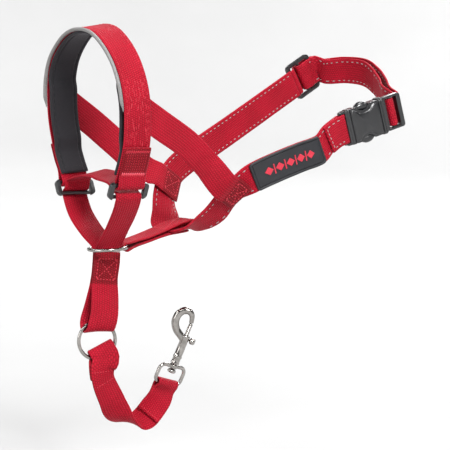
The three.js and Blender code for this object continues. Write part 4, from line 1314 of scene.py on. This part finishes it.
def make_bolt():
    """The gate: a bolt with rings cut round it, its knob, and the spring under it."""
    profile = [(0.4, BOLT_START), (1.4, BOLT_START + 0.2)]
    h = BOLT_START + 0.6
    while h < BOLT_END - 2.6:
        profile += [(BOLT_RADIUS, h), (BOLT_RADIUS, h + 0.55), (BOLT_RADIUS - 0.28, h + 0.75),
                    (BOLT_RADIUS - 0.28, h + 1.0)]
        h += 1.15
    profile += [(BOLT_RADIUS, BOLT_END - 1.5), (BOLT_RADIUS - 0.15, BOLT_END - 0.6),
                (BOLT_RADIUS - 0.6, BOLT_END - 0.1), (0.3, BOLT_END)]
    bolt = turned("snap_gate", profile, SNAP, "snap_bolt")
    dress(bolt, "snap_bolt")
    knob_frame = Frame(SNAP.point(0, KNOB_HEIGHT), SNAP.across, SNAP.along)
    knob_profile = [(0.65, 1.2), (0.66, 3.2), (1.2, 3.35), (1.75, 3.6), (2.15, 4.0), (2.28, 4.6),
                    (2.28, 5.6), (2.15, 6.4), (1.8, 7.0), (1.2, 7.3), (0.3, 7.4)]
    knob = turned("snap_thumb_knob", knob_profile, knob_frame, "snap_bolt")
    dress(knob, "snap_knob")
    low, high, radius = 3.7, 10.95, 1.3
    turns = np.linspace(0, 4.5 * 2 * math.pi, 240)
    coil = [SNAP.point(radius * math.cos(a), h, radius * math.sin(a))
            for a, h in zip(turns, np.linspace(low, high, 240))]
    spring = sweep("snap_bolt_spring", coil, 0.26, NICKEL, "snap", sides=10)
    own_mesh(spring)
    dress(spring, "snap_spring")


def make_swivel():
    eye_up = Frame(SNAP_FOOT, SNAP.along, SNAP.across)
    post_profile = [(0.4, -6.6), (2.0, -6.5), (2.7, -6.1), (2.95, -5.5), (2.95, -4.7), (2.5, -4.1),
                    (1.5, -3.7), (1.1, -3.4), (1.1, 1.8), (1.6, 1.85), (1.6, 2.7), (1.3, 3.0),
                    (0.3, 3.05)]
    dress(turned("snap_swivel_post", post_profile, eye_up, "snap_eye"), "snap_post")
    eye = sweep("snap_eye_form", rounded_loop(EYE, 1.7, EYE_DROP, 11.4, 4.2), EYE_WIRE, NICKEL,
                "snap_eye", closed=True)
    boss = turned("snap_eye_boss", [(1.5, -3.3), (2.6, -3.2), (2.9, -2.7), (2.9, -0.9), (2.6, -0.4),
                                    (1.5, -0.3)], eye_up, "snap_eye")
    for piece in (eye, boss):
        dress(piece, "snap_eye")


# ---------------------------------------------------------------- moulded plastic

def pillow(name, outline, base, rise):
    """A crowned plate on the socket's face: outline as (along, across) pairs, domed by rise."""
    shape = np.array(outline, float)
    count = len(shape)
    middle = shape.mean(0)
    rings = [(0.0, -0.3), (0.0, 0.0), (0.03, 0.2), (0.08, 0.38), (0.16, 0.56), (0.28, 0.73),
             (0.45, 0.87), (0.65, 0.96), (0.9, 1.0)]
    spokes = shape - middle
    reach = np.linalg.norm(spokes, axis=1)[:, None]
    oval = middle + spokes / reach * reach.min()
    local = []
    for inset, height in rings:
        shrunk = oval + (middle - oval) * inset
        ring = shape + (shrunk - shape) * min(1.0, inset * 1.8)
        local += [(a, w, base + np.sign(base) * rise * height) for a, w in ring]
    faces = grid_faces(len(rings), count)
    faces.append(tuple(range((len(rings) - 1) * count, len(rings) * count)))
    faces.append(tuple(range(count)))
    plate = new_object(name, BUCKLE.points(local), faces, PLASTIC, "halter")
    dress(recalculate(plate), "buckle_female")


def make_buckle_form():
    """The socket's crowned faces, its lip and mouth band, and the thumb pads in its shoulders."""
    scoop = [(-8.4 + 8.2 * math.cos(a), -15.6 + 8.2 * math.sin(a))
             for a in np.radians(np.linspace(150, 30, 13))]
    half = [(-18.6, -11.6), *[p for p in scoop if p[1] > -11.6], (5.2, -11.6)]
    outline = half + [(a, -w) for a, w in reversed(half)]
    for side, base in (("inner", -3.9), ("outer", 3.9)):
        pillow("buckle_face_" + side, outline, base, 1.5)
    for name, a, radius, reach in (("buckle_lip", -20.2, 1.9, 12.6),
                                   ("buckle_lip_inner", -22.1, 1.3, 12.2)):
        for part, off in (("_a", 1.6), ("_b", -1.6)):
            centres = [BUCKLE.point(a, w, off) for w in np.linspace(-reach, reach, 24)]
            lip = sweep(name + part, centres, radius, PLASTIC, "halter")
            dress(lip, "buckle_female")
    for step, radius in ((-1.3, 0.9), (0.4, 0.95)):
        f = Frame(BUCKLE.point(7.6 + step), BUCKLE.through, BUCKLE.across)
        band = sweep(f"buckle_mouth_band_{step:.0f}", rounded_loop(f, -4.1, 4.1, 12.7, 2.6), radius,
                     PLASTIC, "halter", closed=True, sides=14)
        dress(band, "buckle_female")
    # across the buckle points down, so its negative side is the upper one
    for side, body in ((1, "buckle_prong_lower"), (-1, "buckle_prong_upper")):
        line = curve([BUCKLE.point(a, side * w) for a, w in (
            (-13.2, 9.6), (-11.6, 11), (-8.9, 11.7), (-6, 11.4), (-3.4, 10), (-1.4, 8.2))], 30)
        swell = 1.3 + 2.1 * np.sin(np.linspace(0.15, 2.9, 30))
        pad = sweep(body + "_thumb_pad", line, swell, PLASTIC, body, sides=24)
        dress(pad, body)


def make_plastics():
    cad_copy("slider_moulding", "neck_slider", "neck_slider", bevel=0.5)
    cad_copy("buckle_socket", "buckle_female", "halter", bevel=0.9)
    cad_copy("buckle_insert", "buckle_male", "buckle_male", bevel=0.9)
    make_buckle_form()
    for node in ("nose_loop_near", "nose_loop_far"):
        cad_copy(node + "_moulding", node, node, bevel=0.6)
    for node in ("buckle_prong_upper", "buckle_prong_lower"):
        cad_copy(node + "_moulding", node, node, bevel=0.3, segments=3)


make_noseband()
make_lining()
make_piping()
make_line()
make_connector()
make_rings()
make_neck()
make_cheeks()
make_patch()
make_adjuster()
make_link()
make_snap_body()
make_bolt()
make_swivel()
make_plastics()
